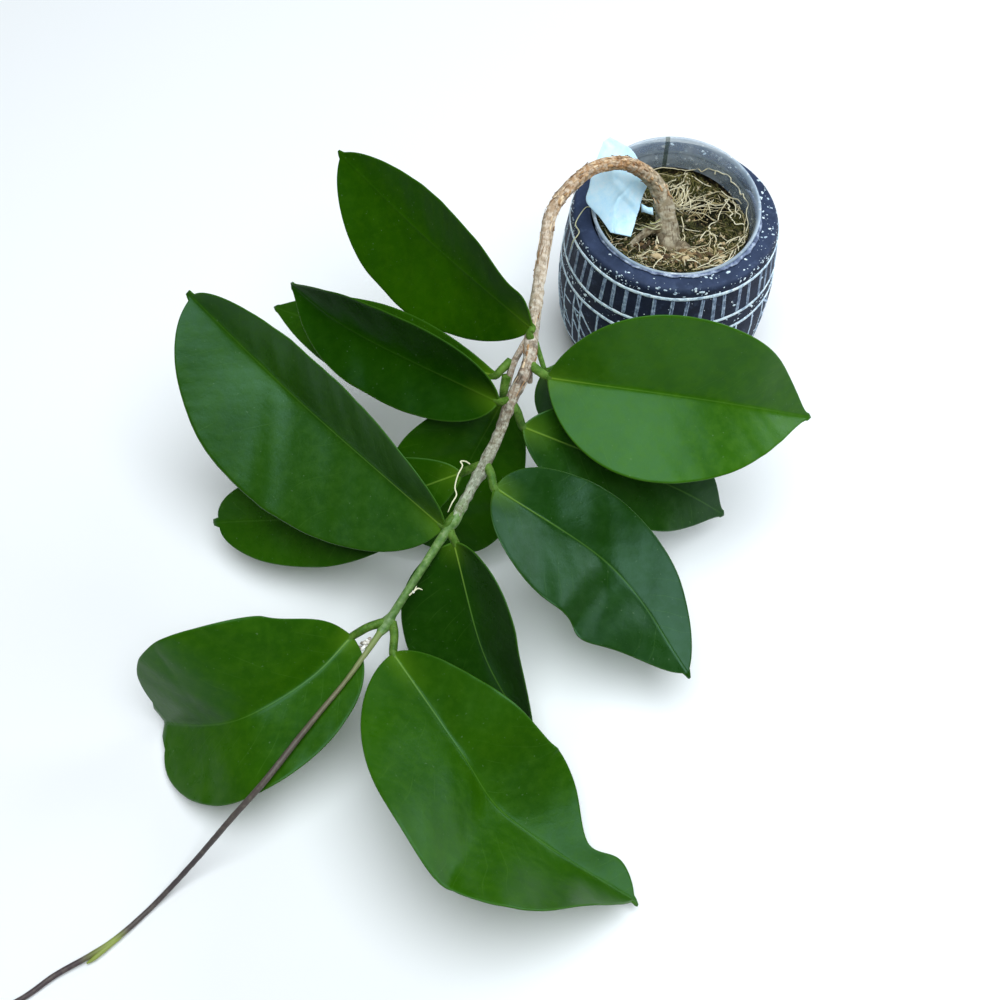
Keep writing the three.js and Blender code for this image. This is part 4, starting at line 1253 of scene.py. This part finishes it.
def leaf_top_color(make, leaf, veins):
    """Dark green in blotches, with veins, a paler base and rib, and a little dust."""
    light, deep = np.array(rgb(50, 98, 2)), np.array(rgb(17, 54, 1))
    base = light + (deep - light) * leaf["tone"]
    darker, paler = tuple(base * (0.55, 0.66, 0.6, 1)), tuple(base * (1.7, 1.3, 1, 1))
    color = make.overlay(tuple(base), darker, make.noise(*BLOTCHES), 0.36, 0.66, 0.85)
    color = make.overlay(color, paler, make.noise(*LEATHER), 0.42, 0.72, 0.4)
    color = make.mix(make.times(veins, leaf["veins"]), color, (104, 150, 62))
    share, across = make.value("share"), make.math("ABSOLUTE", make.value("across"))
    near_rib = make.ramp(make.times(across, 0.1), (0, 1), (1, 0))
    near_base = make.times(make.ramp(share, (0, 1), (0.12, 0)), near_rib)
    color = make.mix(make.times(near_base, 0.55), color, (92, 132, 24))
    rib_color = make.ramp(share, (0, (138, 170, 60)), (0.25, (104, 150, 62)), (1, (72, 118, 36)))
    rib_shown = make.ramp(share, (0, 0.9), (0.3, 0.6), (0.8, 0.45), (1, 0.2))
    rib = make.ramp(across, (0.1, leaf["rib"]), (0.45, 0))
    color = make.mix(make.times(rib, rib_shown), color, rib_color)
    return make.overlay(color, (150, 176, 140), make.noise(*DUST), 0.7, 0.76, 0.16)


def stalk_color(make):
    color = make.overlay((62, 98, 24), (98, 132, 52), make.noise(*LEATHER), 0.4, 0.65)
    color = make.overlay(color, (134, 130, 84), make.noise(*CELLS), 0.55, 0.7, 0.35)
    return make.overlay(color, (48, 62, 20), make.noise(*DUST), 0.62, 0.68, 0.6)


def leaf_material(name, leaf):
    """A glossy top with a paler edge, a paler matt underside, and the stalk."""
    make = Nodes(name, Specular_IOR_Level=leaf["gloss"], Specular_Tint=(0.55, 1, 0.8, 1))
    face, veins, leather = make.value("face"), vein_lines(make), make.noise(*LEATHER)
    under = make.mix(make.times(veins, 0.3), (66, 108, 26), (104, 144, 60))
    rim = make.times(make.ramp(make.value("edge"), (0.15, 0.4), (0.7, 0)), face)
    blade = make.mix(rim, make.mix(face, under, leaf_top_color(make, leaf, veins)), (66, 106, 34))
    color = make.mix(make.math("LESS_THAN", make.value("share"), -0.5), blade, stalk_color(make))
    height = make.plus(make.times(veins, -0.1), make.times(leather, 0.7))
    normal = make.bump(make.noise(*CELLS), 0.12, 0.08, Normal=make.bump(height, 0.45, 0.4))
    uneven = make.ramp(make.noise(*BLOTCHES), (0.3, 0.24), (0.7, 0.36))
    rough = make.plus(uneven, make.ramp(leather, (0.4, 0), (0.7, 0.1)))
    matt_under = make.times(make.math("SUBTRACT", 1.0, face), 0.22)
    return make.done(color, Normal=normal, Roughness=make.plus(matt_under, rough))


def build_leaves():
    for seed, (name, own) in enumerate(LEAVES.items()):
        leaf = {**LEAF_DEFAULTS, **own}
        shape = joined([leaf_blade(leaf, 40 + 5 * seed), leaf_petiole(leaf)])
        add_piece(name + "_fine", shape, leaf_material(name + "_skin", leaf), "leaf", name)


# Tag

def tag_sheet(u, v):
    """The tag's surface: u runs up it and v across; it has a sharp fold, creases and a curled foot."""
    left, right = curve(TAG_LEFT, u)[0], curve(TAG_RIGHT, u)[0]
    u = u[:, None]
    fold = 2.4 * (1 - np.abs(2 * v - 0.8)) * np.sin(np.pi * u)
    curl = 1.4 * np.maximum(0, 1 - 6 * u) ** 2
    from_crease = (u - 0.5) + 0.55 * (v - 0.45)
    crease = 1.5 * np.maximum(0, 1 - np.abs(from_crease) / 0.07) * np.clip((v - 0.35) * 6, 0, 1)
    from_second = (u - 0.3) - 0.9 * (v - 0.5)
    crease = crease - 0.8 * np.maximum(0, 1 - np.abs(from_second) / 0.06) * np.clip((0.8 - v) * 4, 0, 1)
    ripple = 0.4 * np.sin(9 * u + 5 * v) * np.sin(np.pi * v)
    sheet = left[:, None] * (1 - v[..., None]) + right[:, None] * v[..., None]
    return sheet + (fold + curl + crease + ripple)[..., None] * TAG_FORWARD


def torn_corner():
    """A narrow strip of the tag that sticks out at its foot."""
    rows = []
    for i, share in enumerate((0, 0.5, 1)):
        start, end = TORN_EDGES[:, 0] * (1 - share) + TORN_EDGES[:, 1] * share
        rows.append([start * (1 - t) + end * t + (0, 0, 0.5 * math.sin(5 * t + i))
                     for t in np.linspace(0, 1, 6)])
    return sheet_shape(np.array(rows), 0.3)


def tag_shape():
    """The sheet, with one slightly ragged edge, and its torn corner."""
    rng = seeded(81)
    u = np.linspace(0, 1, 91)
    v = np.tile(np.linspace(0, 1, 45), (len(u), 1))
    v[:, -1] -= 0.012 * rng.random(len(u))
    return joined([sheet_shape(tag_sheet(u, v), TAG_THICKNESS), torn_corner()])


def tag_material():
    """Blank pale blue plastic film, with a faint pale blue glow that is painted light and brightens it beyond
    what the lamps give.
    """
    # Painted light: the emission makes the tag glow a little, brighter than the lamps light it.
    make = Nodes("blank_tag_painted_glow", roughness=0.55, Emission_Color=(0.5, 0.78, 1, 1), Emission_Strength=0.16)
    color = make.ramp(make.noise(260, 6), (0.3, (186, 230, 250)), (0.7, (220, 244, 255)))
    color = make.overlay(color, (160, 206, 240), make.noise(50, 3), 0.5, 0.7, 0.35)
    return make.done(color, Normal=make.bump(make.noise(900, 4), 0.3, 0.15))


def build_tag():
    add_piece("tag_sheet", tag_shape(), tag_material(), "tag", "plant_tag")


# Stage, light and camera

def add_stage():
    """A wide white floor just below the plant."""
    mesh = bpy.data.meshes.new("floor")
    sides = ((-1, -1), (1, -1), (1, 1), (-1, 1))
    corners = [(x * FLOOR_REACH, y * FLOOR_REACH, FLOOR_LEVEL) for x, y in sides]
    mesh.from_pydata(corners, [], [(0, 1, 2, 3)])
    mesh.materials.append(Nodes("floor", roughness=0.9).done((0.9, 0.9, 0.9, 1)))
    floor = add_object("floor", mesh)


def add_area_light(name, place, size, power, color):
    """A round lamp that shines on the middle of the plant."""
    data = bpy.data.lights.new(name, "AREA")
    data.shape = "DISK"
    data.size = size
    data.energy = power
    data.color = color
    light = add_object(name, data)
    light.location = place
    light.rotation_euler = (Vector(LIGHT_TARGET) - Vector(place)).to_track_quat("-Z", "Y").to_euler()


def add_lights():
    add_area_light("sky", (0.05, -0.4, 1.65), 1.5, 34, (0.88, 0.95, 1.0))
    add_area_light("window", (1.21, 0.75, 0.68), 1.2, 16, (0.84, 0.93, 1.0))
    world = bpy.data.worlds.new("studio")
    world.use_nodes = True
    background = world.node_tree.nodes["Background"]
    background.inputs["Color"].default_value = (1, 1, 1, 1)
    background.inputs["Strength"].default_value = 0.14
    bpy.context.scene.world = world
    bpy.context.scene.view_settings.view_transform = "Standard"


def add_camera():
    data = bpy.data.cameras.new("camera")
    data.lens = CAMERA_LENS
    data.sensor_width = 36
    data.clip_start = 0.01
    data.clip_end = 100
    camera = add_object("camera", data)
    pitch = Matrix.Rotation(math.radians(90 - CAMERA_PITCH), 4, "X")
    roll = Matrix.Rotation(math.radians(CAMERA_ROLL), 4, "Z")
    camera.matrix_world = Matrix.Translation(Vector(CAMERA_PLACE) * MM) @ pitch @ roll
    bpy.context.scene.camera = camera


build_pot()
build_liner()
build_soil()
build_stems()
build_leaves()
build_tag()
add_stage()
add_lights()
add_camera()
